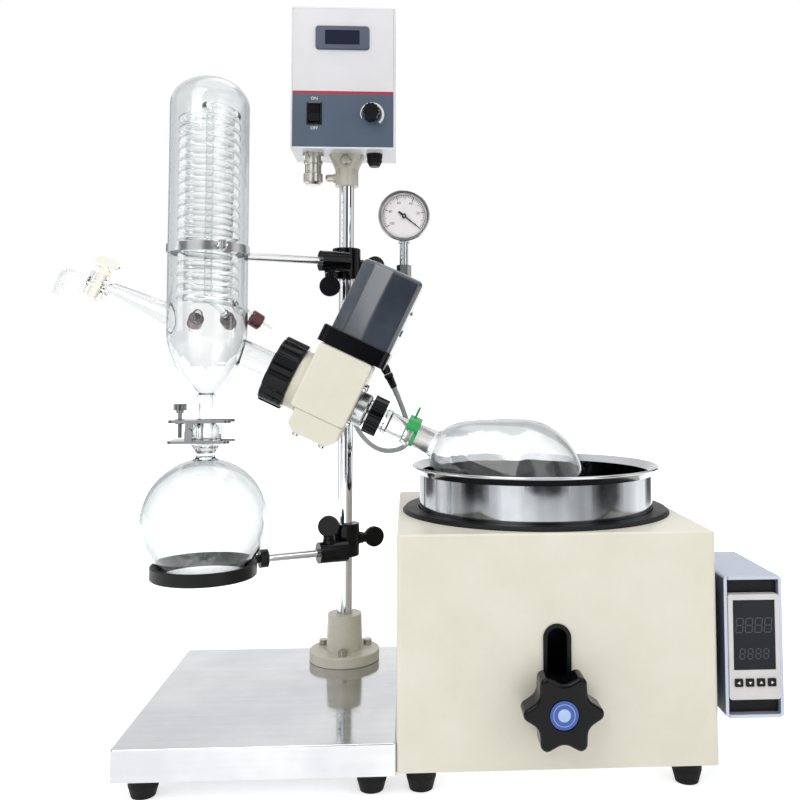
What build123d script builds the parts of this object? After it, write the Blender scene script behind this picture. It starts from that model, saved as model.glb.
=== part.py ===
from build123d import *
import os
from math import asin, atan2, cos, degrees, hypot, radians, sin, sqrt, tan

# Bench rotary evaporator: a column stand with a tilted drive head, a coil condenser,
# a receiving flask on a ring, and a heated bath with its temperature controller.
# Millimetres, +Z up, the bench at z = 0. Origin: centre of the whole outline on the bench.

os.makedirs("parts", exist_ok=True)

# Ground lines that everything is set out from
seam_x = 8.44         # the stand's tray meets the bath casing here
front_y = -132.0      # front faces of the tray and of the bath casing
glass_y = front_y + 155.0    # the glassware and the drive head lie in this plane
flat_gap = 0.3        # soft or turning things stop this far from their seat
running_gap = 0.05    # radial clearance of a shaft or a sliding sleeve

# Stand
tray_width, tray_depth, tray_height, tray_sheet = 255.0, 284.0, 29.0, 1.5
tray_lip = 44.0       # flange folded in round the open underside
foot_height, foot_top_r, foot_base_r, foot_inset = 22.4, 14.0, 11.0, 23.0
column_r = 9.0
column_x, column_y = seam_x - 64.0, front_y + 242.0
tray_top = foot_height + tray_height
flange_r, flange_thick, pedestal_r, pedestal_height = 40.7, 12.0, 19.7, 52.5
flange_bolt_circle_r, flange_bolt_r, flange_bolt_count = 30.0, 3.0, 3
column_foot = foot_height + tray_sheet + 6.0

# Control box on top of the column
box_width, box_depth, box_height, box_sheet = 122.0, 70.0, 169.0, 2.0
box_bottom, box_front_y = 648.0, front_y + 200.0
box_x = column_x - 2.0
bracket_top_r, bracket_sleeve_r, bracket_height = 21.0, 14.0, 36.0
panel_thick = 2.0
bezel_width, bezel_height, bezel_proud = 63.4, 28.8, 2.4
bezel_x, bezel_z = box_x - 1.0, box_bottom + 131.9
lens_width, lens_height = 40.4, 17.2
rocker_width, rocker_height, rocker_gap = 12.6, 20.4, 0.7
rocker_pivot_r, rocker_end_gap = 1.6, 1.4
rocker_x, rocker_z = box_x - 33.4, box_bottom + 41.6
dial_x, dial_z = box_x + 33.3, box_bottom + 41.6
dial_r, dial_length = 10.2, 14.0
dial_shaft_r = 3.0

# Heated bath
bath_width, bath_depth, bath_height, bath_sheet = 298.0, 300.0, 213.0, 1.5
bath_foot = 24.6
bath_x, bath_y = seam_x + bath_width / 2, front_y + bath_depth / 2
bath_top = bath_foot + bath_height
pot_r, pot_sheet, pot_depth, pot_rim_r, pot_rim_z = 126.5, 1.4, 143.0, 134.0, 286.5
gasket_r, gasket_thick = 144.0, 4.0
slot_x = bath_x - 1.5
slot_width, slot_top, slot_bottom = 18.5, 154.0, 52.0
slot_frame = 2.2      # moulded liner of the slot
stud_z = 86.0
stud_r = 5.0
knob_tip_r, knob_notch_r, knob_thick, knob_lobes = 41.0, 24.7, 24.0, 6
knob_tip_round, knob_notch_round = 6.0, 12.0
knob_back_y = front_y - 12.0
post_r, post_spread = 6.0, 90.0

# Temperature controller beside the bath
unit_width, unit_height, unit_depth, unit_wall = 55.0, 129.0, 112.0, 3.0
unit_x = seam_x + 332.0
unit_z = 67.0 + unit_height / 2
frame_width, frame_height, frame_thick = 48.0, 96.0, 8.0
window_width, window_height = 40.0, 64.0
key_width, key_height = 7.6, 7.0

# Drive head: its axis runs down to the right
tilt = 25.5
head_x, head_z = seam_x - 125.4, 387.0
head_front = 39.0     # half the housing's depth
housing_start, housing_end = 25.0, 87.0
housing_low, housing_high = -26.0, 49.0
cover_start, cover_end, cover_low = 31.0, 85.0, -50.0
nose_r, thread_r, thread_length = 33.0, 30.0, 15.0
spindle_r, spindle_bore_r = 15.0, 12.4
bearing_r, bearing_width = 21.0, 7.0
chamber_r, chamber_start, chamber_end = 32.6, 33.0, 79.5
hub_r, hub_x, sleeve_r, sleeve_height = 23.0, column_x, 21.0, 56.0

# Crown and pinion drive
pinion_teeth, gear_ratio = 12, 3
pinion_pitch_r = 9.0
crown_teeth = pinion_teeth * gear_ratio
crown_pitch_r = pinion_pitch_r * gear_ratio
tooth_addendum, tooth_dedendum, tooth_play = 1.05, 1.45, 0.7
gear_face = 4.4
motor_a = 60.0        # where the motor's axis meets the head's axis

# Motor
adapter_start, adapter_end, adapter_half, adapter_top = 20.0, 98.0, 40.0, 68.0
motor_side, motor_top = 38.0, 152.0

# Glassware
wall = 2.2
condenser_x = seam_x - 209.0
jacket_r, jacket_low, jacket_high, jacket_dome = 43.0, 433.0, 681.0, 33.0
jacket_neck_r, jacket_neck_z = 9.75, 363.0
ball_r, ball_z = 14.3, 322.0
side_arm_r, side_flange_r = 15.0, 24.0
coil_r, coil_tube_r, coil_low, coil_high, coil_turns = 29.5, 4.2, 462.0, 672.0, 17
feed_root_r, feed_tip_r = 16.0, 8.6
cap_r, port_r, port_z = 9.0, 6.2, 452.0
port_turns = (-25.0, -75.0, -118.0)
port_drop = 30.0
receiver_r, receiver_z, receiver_neck_r = 67.0, 227.5, 10.0
evap_r, evap_centre, evap_neck_r = 72.0, 285.0, 13.5
duct_r, duct_end = 12.0, 148.0
clip_start = 146.2

# Support ring, clamps and rods
ring_r, ring_height, ring_mouth_r, ring_throat_r = 56.0, 14.0, 54.0, 43.0
ring_gap = 3.4        # the ring is clamped this far below the bowl
rod_r, rod_offset = 4.5, 22.0
upper_boss_z = 517.0
boss_r, boss_height, boss_sleeve_r = 17.0, 38.0, 12.0
band_thick, band_height, band_z = 1.6, 9.0, 521.0
spade_r, spade_thick, spade_collar_r, shank_r = 12.0, 5.5, 6.0, 3.0

# Vacuum gauge
gauge_r, gauge_depth = 30.0, 22.0
gauge_x, gauge_y, gauge_z = seam_x + 5.5, front_y + 206.0, 569.0

# Set-out frames
along = Vector(cos(radians(tilt)), 0, -sin(radians(tilt)))
across = Vector(sin(radians(tilt)), 0, cos(radians(tilt)))
head_plane = Plane(origin=(head_x, glass_y, head_z), x_dir=along, z_dir=(0, -1, 0))
spin_plane = Plane(origin=head_plane.origin, x_dir=across, z_dir=(0, 1, 0))


def upright(x, y, z=0.0):
    return Plane(origin=(x, y, z), x_dir=(1, 0, 0), z_dir=(0, -1, 0))


def head_section(a):
    return Plane(origin=head_plane.from_local_coords((a, 0, 0)), x_dir=(0, 1, 0), z_dir=along)


def head_floor(b, a=0.0):
    return Plane(origin=head_plane.from_local_coords((a, b, 0)), x_dir=along, z_dir=across)


def turned(plane, *outline):
    # a solid turned about the plane's own y axis, from points (radius, height)
    with BuildPart() as shape:
        with BuildSketch(plane):
            with BuildLine():
                Polyline(*outline, close=True)
            make_face()
        revolve(axis=Axis(plane.origin, plane.y_dir))
    return shape.part


def plane_along(start, direction):
    # a plane whose own y axis runs along the direction, for turned()
    direction = Vector(direction).normalized()
    side = Vector(0, 0, 1) if abs(direction.Z) < 0.9 else Vector(0, 1, 0)
    return Plane(origin=start, x_dir=direction.cross(side), z_dir=direction.cross(side).cross(direction))


def screw_on(plane, head_r, head_height, shank_r, shank_length):
    # a cap screw: the head above the plane's own x axis, the shank below it
    return turned(plane, (0, -shank_length), (shank_r, -shank_length), (shank_r, 0), (head_r, 0),
                  (head_r, head_height * 0.75), (head_r * 0.8, head_height), (0, head_height))


def bent_rod(route, bend, radius):
    # a round rod along straight runs with rounded corners
    with BuildPart() as shape:
        with BuildLine() as way:
            FilletPolyline(*route, radius=bend)
        with BuildSketch(Plane(origin=way.line @ 0, z_dir=way.line % 0)):
            Circle(radius)
        sweep(path=way.line)
    return shape.part


def spade_screw(plane, shank_length, eye=False):
    # a thumb screw turned about the plane's y axis: shank, collar and a flat round grip
    with BuildPart() as shape:
        add(turned(plane, (0, -shank_length), (shank_r, -shank_length), (shank_r, 0), (spade_collar_r, 0),
                   (spade_collar_r, 4), (0, 4)))
        with BuildSketch(plane.offset(-spade_thick / 2)):
            with Locations((0, spade_r + 3)):
                Circle(spade_r)
                if eye:
                    SlotOverall(10, 6, rotation=90, mode=Mode.SUBTRACT)
        extrude(amount=spade_thick)
    return shape.part


# Tray: a stainless sheet box with its edges folded in underneath
tray_centre = (seam_x - tray_width / 2, front_y + tray_depth / 2)
with BuildPart() as base_tray:
    with BuildSketch(Plane.XY.offset(foot_height)):
        with Locations(tray_centre):
            RectangleRounded(tray_width, tray_depth, 3)
    extrude(amount=tray_height)
    fillet(base_tray.edges().group_by(Axis.Z)[-1], 1.4)
    with BuildSketch(Plane.XY.offset(foot_height + tray_sheet)):
        with Locations(tray_centre):
            Rectangle(tray_width - 2 * tray_sheet, tray_depth - 2 * tray_sheet)
    extrude(amount=tray_height - 2 * tray_sheet, mode=Mode.SUBTRACT)
    with BuildSketch(Plane.XY.offset(foot_height)):
        with Locations(tray_centre):
            Rectangle(tray_width - 2 * tray_lip, tray_depth - 2 * tray_lip)
    extrude(amount=tray_sheet, mode=Mode.SUBTRACT)
    with Locations(Plane.XY.offset(tray_top - tray_sheet)):
        with Locations((column_x, column_y)):
            Cylinder(column_r + 0.5, 3 * tray_sheet, mode=Mode.SUBTRACT)
            with PolarLocations(flange_bolt_circle_r, flange_bolt_count, start_angle=-90):
                Cylinder(flange_bolt_r + 0.2, 3 * tray_sheet, mode=Mode.SUBTRACT)
base_tray.part.label = "base_tray"
export_step(base_tray.part, "parts/base_tray.step")


# Rubber feet under the tray and under the bath
def foot(x, y, height):
    return turned(upright(x, y), (0, 0), (foot_base_r, 0), (foot_top_r, height * 0.45),
                  (foot_top_r, height), (0, height))


with BuildPart() as rubber_feet:
    for x in (seam_x - tray_width + foot_inset, seam_x - foot_inset):
        for y in (front_y + foot_inset + 4, front_y + tray_depth - foot_inset - 4):
            add(foot(x, y, foot_height))
    for x in (seam_x + foot_inset, seam_x + bath_width - foot_inset):
        for y in (front_y + foot_inset + 4, front_y + bath_depth - foot_inset - 4):
            add(foot(x, y, bath_foot))
rubber_feet.part.label = "rubber_feet"
export_step(rubber_feet.part, "parts/rubber_feet.step")

# Column flange: a cast disc and pedestal, bolted to the tray
with BuildPart() as column_flange:
    with BuildSketch(upright(column_x, column_y, tray_top)):
        with BuildLine():
            Polyline((column_r + 0.02, 0), (flange_r, 0), (flange_r, flange_thick),
                     (pedestal_r + 1.5, flange_thick), (pedestal_r, pedestal_height),
                     (column_r + 0.02, pedestal_height), close=True)
        make_face()
    revolve(axis=Axis((column_x, column_y, 0), (0, 0, 1)))
    fillet(column_flange.edges().filter_by(GeomType.CIRCLE).sort_by(SortBy.RADIUS)[-2:], 1.2)
    with Locations((column_x, column_y, tray_top + flange_thick / 2)):
        with PolarLocations(flange_bolt_circle_r, flange_bolt_count, start_angle=-90):
            Cylinder(flange_bolt_r + 0.2, flange_thick * 1.2, mode=Mode.SUBTRACT)
column_flange.part.label = "column_flange"
export_step(column_flange.part, "parts/column_flange.step")

# Column: one chromed rod from under the tray to the control box
column_top = box_bottom - 4.0
with BuildPart() as column_rod:
    with BuildSketch(Plane.XY.offset(column_foot)):
        with Locations((column_x, column_y)):
            Circle(column_r)
    extrude(amount=column_top - column_foot)
    chamfer(column_rod.edges(), 0.8)
column_rod.part.label = "column_rod"
export_step(column_rod.part, "parts/column_rod.step")

# Bracket between the column's top and the control box
with BuildPart() as box_bracket:
    with BuildSketch(Plane.XY.offset(box_bottom)):
        with Locations((column_x, column_y - 2)):
            RectangleRounded(2 * bracket_top_r, 1.5 * bracket_top_r, 6)
    with BuildSketch(Plane.XY.offset(box_bottom - bracket_height * 0.45)):
        with Locations((column_x, column_y)):
            Circle(bracket_sleeve_r)
    loft()
    with BuildSketch(Plane.XY.offset(box_bottom - bracket_height)):
        with Locations((column_x, column_y)):
            Circle(bracket_sleeve_r)
    extrude(amount=bracket_height * 0.56)
    with Locations(Plane(origin=(column_x, column_y - 15.4, box_bottom - 8), z_dir=(0, -1, 0))):
        Cylinder(6.8, 6)
    with Locations(Plane(origin=(column_x - 14, column_y, box_bottom - 26), z_dir=(-1, 0, 0))):
        Cylinder(5.4, 5)
    with BuildSketch(Plane.XY.offset(box_bottom - bracket_height)):
        with Locations((column_x, column_y)):
            Circle(column_r + 0.02)
    extrude(amount=bracket_height - 4.0, mode=Mode.SUBTRACT)
    with Locations(Plane(origin=(column_x, column_y - bracket_sleeve_r, box_bottom - 8), z_dir=(0, -1, 0))):
        Cylinder(3.2, 12, mode=Mode.SUBTRACT)
    with Locations(Plane(origin=(column_x - bracket_sleeve_r, column_y, box_bottom - 26), z_dir=(-1, 0, 0))):
        Cylinder(2.6, 12, mode=Mode.SUBTRACT)
box_bracket.part.label = "box_bracket"
export_step(box_bracket.part, "parts/box_bracket.step")

# Screws of the stand: three flange bolts with their nuts, the bracket's dome screw and grub screw
with BuildPart() as stand_screws:
    with Locations((column_x, column_y, 0)):
        with PolarLocations(flange_bolt_circle_r, flange_bolt_count, start_angle=-90):
            with Locations((0, 0, tray_top + flange_thick + 3)):
                Cylinder(5.2, 6)
            with Locations((0, 0, tray_top + flange_thick / 2 - 5)):
                Cylinder(flange_bolt_r, flange_thick + 12)
    with BuildSketch(Plane.XY.offset(tray_top - tray_sheet - 5)):
        with Locations((column_x, column_y)):
            with PolarLocations(flange_bolt_circle_r, flange_bolt_count, start_angle=-90):
                RegularPolygon(5.6, 6)
    extrude(amount=5)
    add(screw_on(plane_along((column_x, column_y - 18.4, box_bottom - 8), (0, -1, 0)), 6.0, 5.0, 3.0, 7.0))
    add(screw_on(plane_along((column_x - 16.5, column_y, box_bottom - 26), (-1, 0, 0)), 4.6, 9.0, 2.4, 7.3))
stand_screws.part.label = "stand_screws"
export_step(stand_screws.part, "parts/stand_screws.step")

# Control box: a folded steel casing, open at the front, and its printed front panel
with BuildPart() as control_box_casing:
    with BuildSketch(Plane.XY.offset(box_bottom)):
        with Locations((box_x, box_front_y + box_depth / 2)):
            RectangleRounded(box_width, box_depth, 2.5)
    extrude(amount=box_height)
    with BuildSketch(upright(box_x, box_front_y, box_bottom + box_height / 2)):
        Rectangle(box_width - 2 * box_sheet, box_height - 2 * box_sheet)
    extrude(amount=-(box_depth - box_sheet), mode=Mode.SUBTRACT)
control_box_casing.part.label = "control_box_casing"
export_step(control_box_casing.part, "parts/control_box_casing.step")

panel_plane = upright(0, box_front_y + panel_thick, 0)
with BuildPart() as control_front_panel:
    with BuildSketch(panel_plane):
        with Locations((box_x, box_bottom + box_height / 2)):
            RectangleRounded(box_width - 2 * box_sheet - 0.4, box_height - 2 * box_sheet - 0.4, 1.5)
        with Locations((rocker_x, rocker_z)):
            Rectangle(rocker_width + 2 * rocker_gap, rocker_height + 2 * rocker_end_gap, mode=Mode.SUBTRACT)
        with Locations((dial_x, dial_z)):
            Circle(dial_shaft_r + 0.4, mode=Mode.SUBTRACT)
    extrude(amount=panel_thick)
    with BuildSketch(upright(0, box_front_y, 0)):
        with Locations((bezel_x, bezel_z)):
            RectangleRounded(bezel_width, bezel_height, 4)
    extrude(amount=bezel_proud, taper=18)
    with BuildSketch(upright(0, box_front_y - bezel_proud, 0)):
        with Locations((bezel_x, bezel_z)):
            Rectangle(lens_width, lens_height)
    extrude(amount=-1.2, mode=Mode.SUBTRACT)
    with BuildSketch(upright(0, box_front_y, 0)):
        with Locations((rocker_x, rocker_z)):
            Rectangle(rocker_width + 5, rocker_height + 6)
            Rectangle(rocker_width + 2 * rocker_gap, rocker_height + 2 * rocker_end_gap, mode=Mode.SUBTRACT)
    extrude(amount=1.2)
control_front_panel.part.label = "control_front_panel"
export_step(control_front_panel.part, "parts/control_front_panel.step")

# Power rocker: a bar with two sloping faces that tips on two short pivots
rocker_axis_y = box_front_y + 3.0
with BuildPart() as power_rocker:
    with BuildSketch(Plane(origin=(rocker_x - rocker_width / 2, rocker_axis_y, rocker_z), x_dir=(0, 1, 0),
                           z_dir=(1, 0, 0))):
        with BuildLine():
            Polyline((3, 0), (2, -rocker_height / 2 + 2), (-4.6, -rocker_height / 2 + 0.6),
                     (-4.2, 0), (-6.4, rocker_height / 2 - 0.6), (2, rocker_height / 2 - 2), close=True)
        make_face()
    extrude(amount=rocker_width)
    with Locations(Plane(origin=(rocker_x, rocker_axis_y, rocker_z), z_dir=(1, 0, 0))):
        Cylinder(rocker_pivot_r, rocker_width + 2 * rocker_gap - 0.2)
power_rocker.part.label = "power_rocker"
export_step(power_rocker.part, "parts/power_rocker.step")

# Speed dial: a fluted knob on the regulator's shaft
with BuildPart() as speed_knob:
    with BuildSketch(upright(dial_x, box_front_y - 1.0, dial_z)):
        Circle(dial_r)
        with PolarLocations(dial_r + 0.5, 12):
            Circle(1.3, mode=Mode.SUBTRACT)
    extrude(amount=dial_length, taper=3)
    chamfer(speed_knob.faces().sort_by(Axis.Y)[0].edges(), 0.7)
    with BuildSketch(upright(dial_x, box_front_y - 1.0, dial_z)):
        Circle(dial_shaft_r)
    extrude(amount=-16)
    with BuildSketch(upright(dial_x, box_front_y - 1.0 - dial_length, dial_z)):
        with Locations((0, dial_r * 0.5)):
            Rectangle(1.2, dial_r * 0.7)
    extrude(amount=-0.8, mode=Mode.SUBTRACT)
speed_knob.part.label = "speed_knob"
export_step(speed_knob.part, "parts/speed_knob.step")

# Sockets under the box: a metal round plug, a dark cable gland and the motor lead's gland
plug_x, gland_x, plug_y = box_x - 37.0, box_x + 36.0, front_y + 226.0
lead_r = 3.0
lead_gland_y = box_front_y + box_depth - 7.5
lead_gland_height = 12.0
with BuildPart() as box_sockets:
    add(turned(upright(plug_x, plug_y, box_bottom), (0, 0), (12.5, 0), (12.5, -4), (9.5, -4), (9.5, -9),
               (11, -9), (11, -13), (9.8, -14), (9.8, -24), (11.4, -25), (11.4, -35), (8, -38), (0, -38)))
    add(turned(upright(gland_x, plug_y, box_bottom), (0, 0), (9.5, 0), (9.5, -4), (8, -4), (8, -11),
               (6, -15), (0, -15)))
    with Locations((gland_x, plug_y, box_bottom - 7)):
        Cylinder(9.0, 5)
    add(turned(upright(column_x, lead_gland_y, box_bottom), (0, 0), (6.5, 0), (6.5, -5), (4.6, -6),
               (4.0, -lead_gland_height), (0, -lead_gland_height)))
box_sockets.part.label = "box_sockets"
export_step(box_sockets.part, "parts/box_sockets.step")

# Bath casing: painted sheet box, round mouth for the pot, upright slot for the lifting stud
with BuildPart() as bath_casing:
    with BuildSketch(Plane.XY.offset(bath_foot)):
        with Locations((bath_x, bath_y)):
            RectangleRounded(bath_width, bath_depth, 5)
    extrude(amount=bath_height)
    fillet(bath_casing.edges().group_by(Axis.Z)[-1], 2.5)
    with BuildSketch(Plane.XY.offset(bath_foot)):
        with Locations((bath_x, bath_y)):
            RectangleRounded(bath_width - 2 * bath_sheet, bath_depth - 2 * bath_sheet, 3.5)
    extrude(amount=bath_height - bath_sheet, mode=Mode.SUBTRACT)
    with Locations((bath_x, bath_y, bath_top)):
        Cylinder(pot_r + 3.0, 6, mode=Mode.SUBTRACT)
    with BuildSketch(upright(slot_x, front_y, (slot_top + slot_bottom) / 2)):
        SlotOverall(slot_top - slot_bottom, slot_width + 2 * slot_frame, rotation=90)
    extrude(amount=-4 * bath_sheet, mode=Mode.SUBTRACT)
bath_casing.part.label = "bath_casing"
export_step(bath_casing.part, "parts/bath_casing.step")

# Floor of the bath: a pan inside the casing with two fixed guide posts for the lifting frame
pan_thick, pan_turn_up = 2.0, 12.0
guide_top = 117.0
with BuildPart() as bath_base_pan:
    with BuildSketch(Plane.XY.offset(bath_foot)):
        with Locations((bath_x, bath_y)):
            RectangleRounded(bath_width - 2 * bath_sheet - 0.4, bath_depth - 2 * bath_sheet - 0.4, 3.3)
    extrude(amount=pan_turn_up)
    with BuildSketch(Plane.XY.offset(bath_foot + pan_thick)):
        with Locations((bath_x, bath_y)):
            RectangleRounded(bath_width - 2 * bath_sheet - 4.4, bath_depth - 2 * bath_sheet - 4.4, 2)
    extrude(amount=pan_turn_up, mode=Mode.SUBTRACT)
    with BuildSketch(Plane.XY.offset(bath_foot)):
        with Locations((bath_x, bath_y)):
            with GridLocations(2 * post_spread, 0.1, 2, 1):
                Circle(post_r)
    extrude(amount=guide_top - bath_foot)
    with BuildSketch(Plane.XY.offset(bath_foot)):
        with Locations((bath_x, bath_y - 70), (bath_x, bath_y + 70)):
            with GridLocations(22, 0.1, 6, 1):
                SlotOverall(44, 8, rotation=90)
    extrude(amount=pan_thick, mode=Mode.SUBTRACT)
bath_base_pan.part.label = "bath_base_pan"
export_step(bath_base_pan.part, "parts/bath_base_pan.step")

# Black trims of the casing: the pot's gasket ring and the slot's liner
with BuildPart() as casing_trims:
    with BuildSketch(upright(bath_x, bath_y, bath_top)):
        with BuildLine():
            Polyline((pot_r + 0.8, -bath_sheet - 2), (pot_r + 2.6, -bath_sheet - 2), (pot_r + 2.6, 0),
                     (gasket_r, 0), (gasket_r, 1.2), (gasket_r - 3, gasket_thick),
                     (pot_r + 0.8, gasket_thick), close=True)
        make_face()
    revolve(axis=Axis((bath_x, bath_y, 0), (0, 0, 1)))
    with BuildSketch(upright(slot_x, front_y - 1.6, (slot_top + slot_bottom) / 2)):
        SlotOverall(slot_top - slot_bottom + 3, slot_width + 2 * slot_frame + 3, rotation=90)
        SlotOverall(slot_top - slot_bottom - 2 * slot_frame, slot_width, rotation=90, mode=Mode.SUBTRACT)
    extrude(amount=-1.6)
    with BuildSketch(upright(slot_x, front_y, (slot_top + slot_bottom) / 2)):
        SlotOverall(slot_top - slot_bottom - 0.2, slot_width + 2 * slot_frame - 0.2, rotation=90)
        SlotOverall(slot_top - slot_bottom - 2 * slot_frame, slot_width, rotation=90, mode=Mode.SUBTRACT)
    extrude(amount=-7)
casing_trims.part.label = "casing_trims"
export_step(casing_trims.part, "parts/casing_trims.step")

# Pot: spun stainless steel with a rolled rim and a rounded foot
pot_floor = pot_rim_z - pot_depth
rim_roll = 2.6
with BuildPart() as heating_pot:
    with BuildSketch(upright(bath_x, bath_y)):
        with BuildLine():
            Polyline((0, pot_floor), (pot_r - 14, pot_floor))
            RadiusArc((pot_r - 14, pot_floor), (pot_r, pot_floor + 14), -14)
            Polyline((pot_r, pot_floor + 14), (pot_r, pot_rim_z - 9),
                     (pot_rim_r - rim_roll, pot_rim_z - rim_roll))
            ThreePointArc((pot_rim_r - rim_roll, pot_rim_z - rim_roll), (pot_rim_r, pot_rim_z - 1),
                          (pot_rim_r - rim_roll, pot_rim_z))
            Polyline((pot_rim_r - rim_roll, pot_rim_z), (pot_r - pot_sheet, pot_rim_z - 7.5),
                     (pot_r - pot_sheet, pot_floor + 14))
            RadiusArc((pot_r - pot_sheet, pot_floor + 14), (pot_r - 14, pot_floor + pot_sheet),
                      14 - pot_sheet)
            Polyline((pot_r - 14, pot_floor + pot_sheet), (0, pot_floor + pot_sheet), (0, pot_floor))
        make_face()
    revolve(axis=Axis((bath_x, bath_y, 0), (0, 0, 1)))
heating_pot.part.label = "heating_pot"
export_step(heating_pot.part, "parts/heating_pot.step")

# Heater under the pot: a tubular ring with two cold ends
heater_r, heater_tube_r = 78.0, 4.0
heater_z = pot_floor - heater_tube_r - 0.1
with BuildPart() as heater_ring:
    with BuildSketch(upright(bath_x, bath_y)):
        with Locations((heater_r, heater_z)):
            Circle(heater_tube_r)
    revolve(axis=Axis((bath_x, bath_y, 0), (0, 0, 1)), revolution_arc=340)
    with Locations((bath_x, bath_y, 0)):
        with PolarLocations(heater_r, 2, angular_range=-20, endpoint=True):
            with Locations((0, 0, heater_z - 14)):
                Cylinder(heater_tube_r * 0.8, 28)
heater_ring.part.label = "heater_ring"
export_step(heater_ring.part, "parts/heater_ring.step")

# Lifting frame: a cross bar that slides on the posts, arms under the pot, and the clamping stud
frame_top = pot_floor - 0.2
frame_bar_z = stud_z + 6.0
arm_r = 104.0
with BuildPart() as lift_bracket:
    with BuildSketch(Plane.XY.offset(frame_bar_z - 6)):
        with Locations((bath_x, bath_y)):
            Rectangle(2 * post_spread + 44, 30)
            Rectangle(30, 2 * arm_r)
        with Locations((slot_x, (front_y + bath_y) / 2 + 6)):
            Rectangle(26, bath_y - front_y - 24)
    extrude(amount=4)
    with BuildSketch(Plane.XY.offset(frame_bar_z - 12)):
        with Locations((bath_x, bath_y)):
            with GridLocations(2 * post_spread, 0.1, 2, 1):
                Circle(post_r + 5)
    extrude(amount=20)
    with BuildSketch(Plane.XY.offset(frame_bar_z - 2)):
        with Locations((bath_x, bath_y)):
            with PolarLocations(arm_r - 4, 2, start_angle=90):
                Rectangle(6, 30)
            with PolarLocations(arm_r, 2):
                Rectangle(6, 30)
    extrude(amount=frame_top - frame_bar_z + 2)
    with BuildSketch(Plane.XY.offset(frame_bar_z - 14)):
        with Locations((bath_x, bath_y)):
            with GridLocations(2 * post_spread, 0.1, 2, 1):
                Circle(post_r + running_gap)
    extrude(amount=60, mode=Mode.SUBTRACT)
    with BuildSketch(upright(slot_x, front_y + 14, stud_z)):
        Rectangle(26, 26)
    extrude(amount=-4)
    with BuildSketch(upright(slot_x, knob_back_y + 0.5, stud_z)):
        Circle(stud_r)
    extrude(amount=-(front_y + 16 - knob_back_y))
lift_bracket.part.label = "lift_bracket"
export_step(lift_bracket.part, "parts/lift_bracket.step")

# Star knob that clamps the pot's height: six rounded points, an inset face and a washer behind
def star_corner(number):
    corner_r = knob_notch_r if number % 2 else knob_tip_r
    corner_turn = radians(number * 180 / knob_lobes)
    return corner_r * cos(corner_turn), corner_r * sin(corner_turn)


def is_notch(corner):
    return hypot(corner.X, corner.Y) < knob_notch_r + 0.1


with BuildPart() as star_knob:
    with BuildSketch(upright(slot_x, knob_back_y, stud_z)) as star_face:
        with BuildLine():
            Polyline(*[star_corner(number) for number in range(2 * knob_lobes)], close=True)
        make_face()
        fillet(star_face.vertices().filter_by(is_notch), knob_notch_round)
        fillet(star_face.vertices().filter_by(lambda corner: hypot(corner.X, corner.Y) > knob_tip_r - 0.1),
               knob_tip_round)
    extrude(amount=knob_thick)
    fillet(star_knob.faces().sort_by(Axis.Y)[0].edges(), 3.5)
    with BuildSketch(upright(slot_x, knob_back_y - knob_thick, stud_z)):
        Circle(13.5)
    extrude(amount=-1.6, mode=Mode.SUBTRACT)
    with BuildSketch(upright(slot_x, knob_back_y - knob_thick + 1.6, stud_z)):
        Circle(12.6)
    extrude(amount=1.4)
    with BuildSketch(upright(slot_x, front_y - 1.6 - flat_gap, stud_z)):
        Circle(15)
    extrude(amount=-(knob_back_y - front_y + 1.6 + flat_gap))
    with BuildSketch(upright(slot_x, knob_back_y, stud_z)):
        Circle(stud_r + running_gap)
    extrude(amount=-(front_y - knob_back_y), mode=Mode.SUBTRACT)
star_knob.part.label = "star_knob"
export_step(star_knob.part, "parts/star_knob.step")

# Controller housing: an aluminium extrusion open at the front, spaced off the bath casing
unit_y = front_y + unit_depth / 2
with BuildPart() as controller_housing:
    with BuildSketch(upright(unit_x, front_y, unit_z)):
        RectangleRounded(unit_width, unit_height, 3.5)
    extrude(amount=-unit_depth)
    with BuildSketch(upright(unit_x, front_y, unit_z)):
        RectangleRounded(unit_width - 2 * unit_wall, unit_height - 2 * unit_wall, 1)
    extrude(amount=-(unit_depth - unit_wall), mode=Mode.SUBTRACT)
    for side in (1, -1):
        with Locations((unit_x, front_y, unit_z + side * (unit_height / 2 - 1.5))):
            Box(unit_width - 8, 3, 3)
    spacer_width = unit_x - unit_width / 2 - seam_x - bath_width
    with Locations((unit_x - unit_width / 2 - spacer_width / 2, unit_y + 6, unit_z)):
        Box(spacer_width, 70, 60)
controller_housing.part.label = "controller_housing"
export_step(controller_housing.part, "parts/controller_housing.step")

# Controller: front frame with its window recess and key holes, back plate and instrument case
key_row_z = unit_z - 32.2
key_pitch = 10.4
key_wall = 2.5
with BuildPart() as controller_bezel:
    with BuildSketch(upright(unit_x, front_y + 8, unit_z)):
        RectangleRounded(unit_width - 2 * unit_wall - 0.4, unit_height - 2 * unit_wall - 0.4, 0.8)
    extrude(amount=2)
    with BuildSketch(upright(unit_x, front_y + 6, unit_z)):
        RectangleRounded(frame_width, frame_height, 2.5)
    extrude(amount=frame_thick)
    fillet(controller_bezel.faces().sort_by(Axis.Y)[0].edges(), 0.8)
    with BuildSketch(upright(unit_x, front_y + 8, unit_z)):
        Rectangle(frame_width - 4, frame_height - 4)
    extrude(amount=-80)
    with BuildSketch(upright(unit_x, front_y + 6 - frame_thick, unit_z + 11)):
        Rectangle(window_width, window_height)
    extrude(amount=-1.0, mode=Mode.SUBTRACT)
    with BuildSketch(upright(unit_x, front_y + 6 - frame_thick, key_row_z)):
        with GridLocations(key_pitch, 1, 4, 1):
            Rectangle(key_width + 0.3, key_height + 0.3)
    extrude(amount=-4, mode=Mode.SUBTRACT)
    with BuildSketch(upright(unit_x, front_y + 6 - frame_thick + key_wall, key_row_z)):
        Rectangle(frame_width - 4, key_height + 4)
    extrude(amount=-5.5, mode=Mode.SUBTRACT)
controller_bezel.part.label = "controller_bezel"
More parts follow.
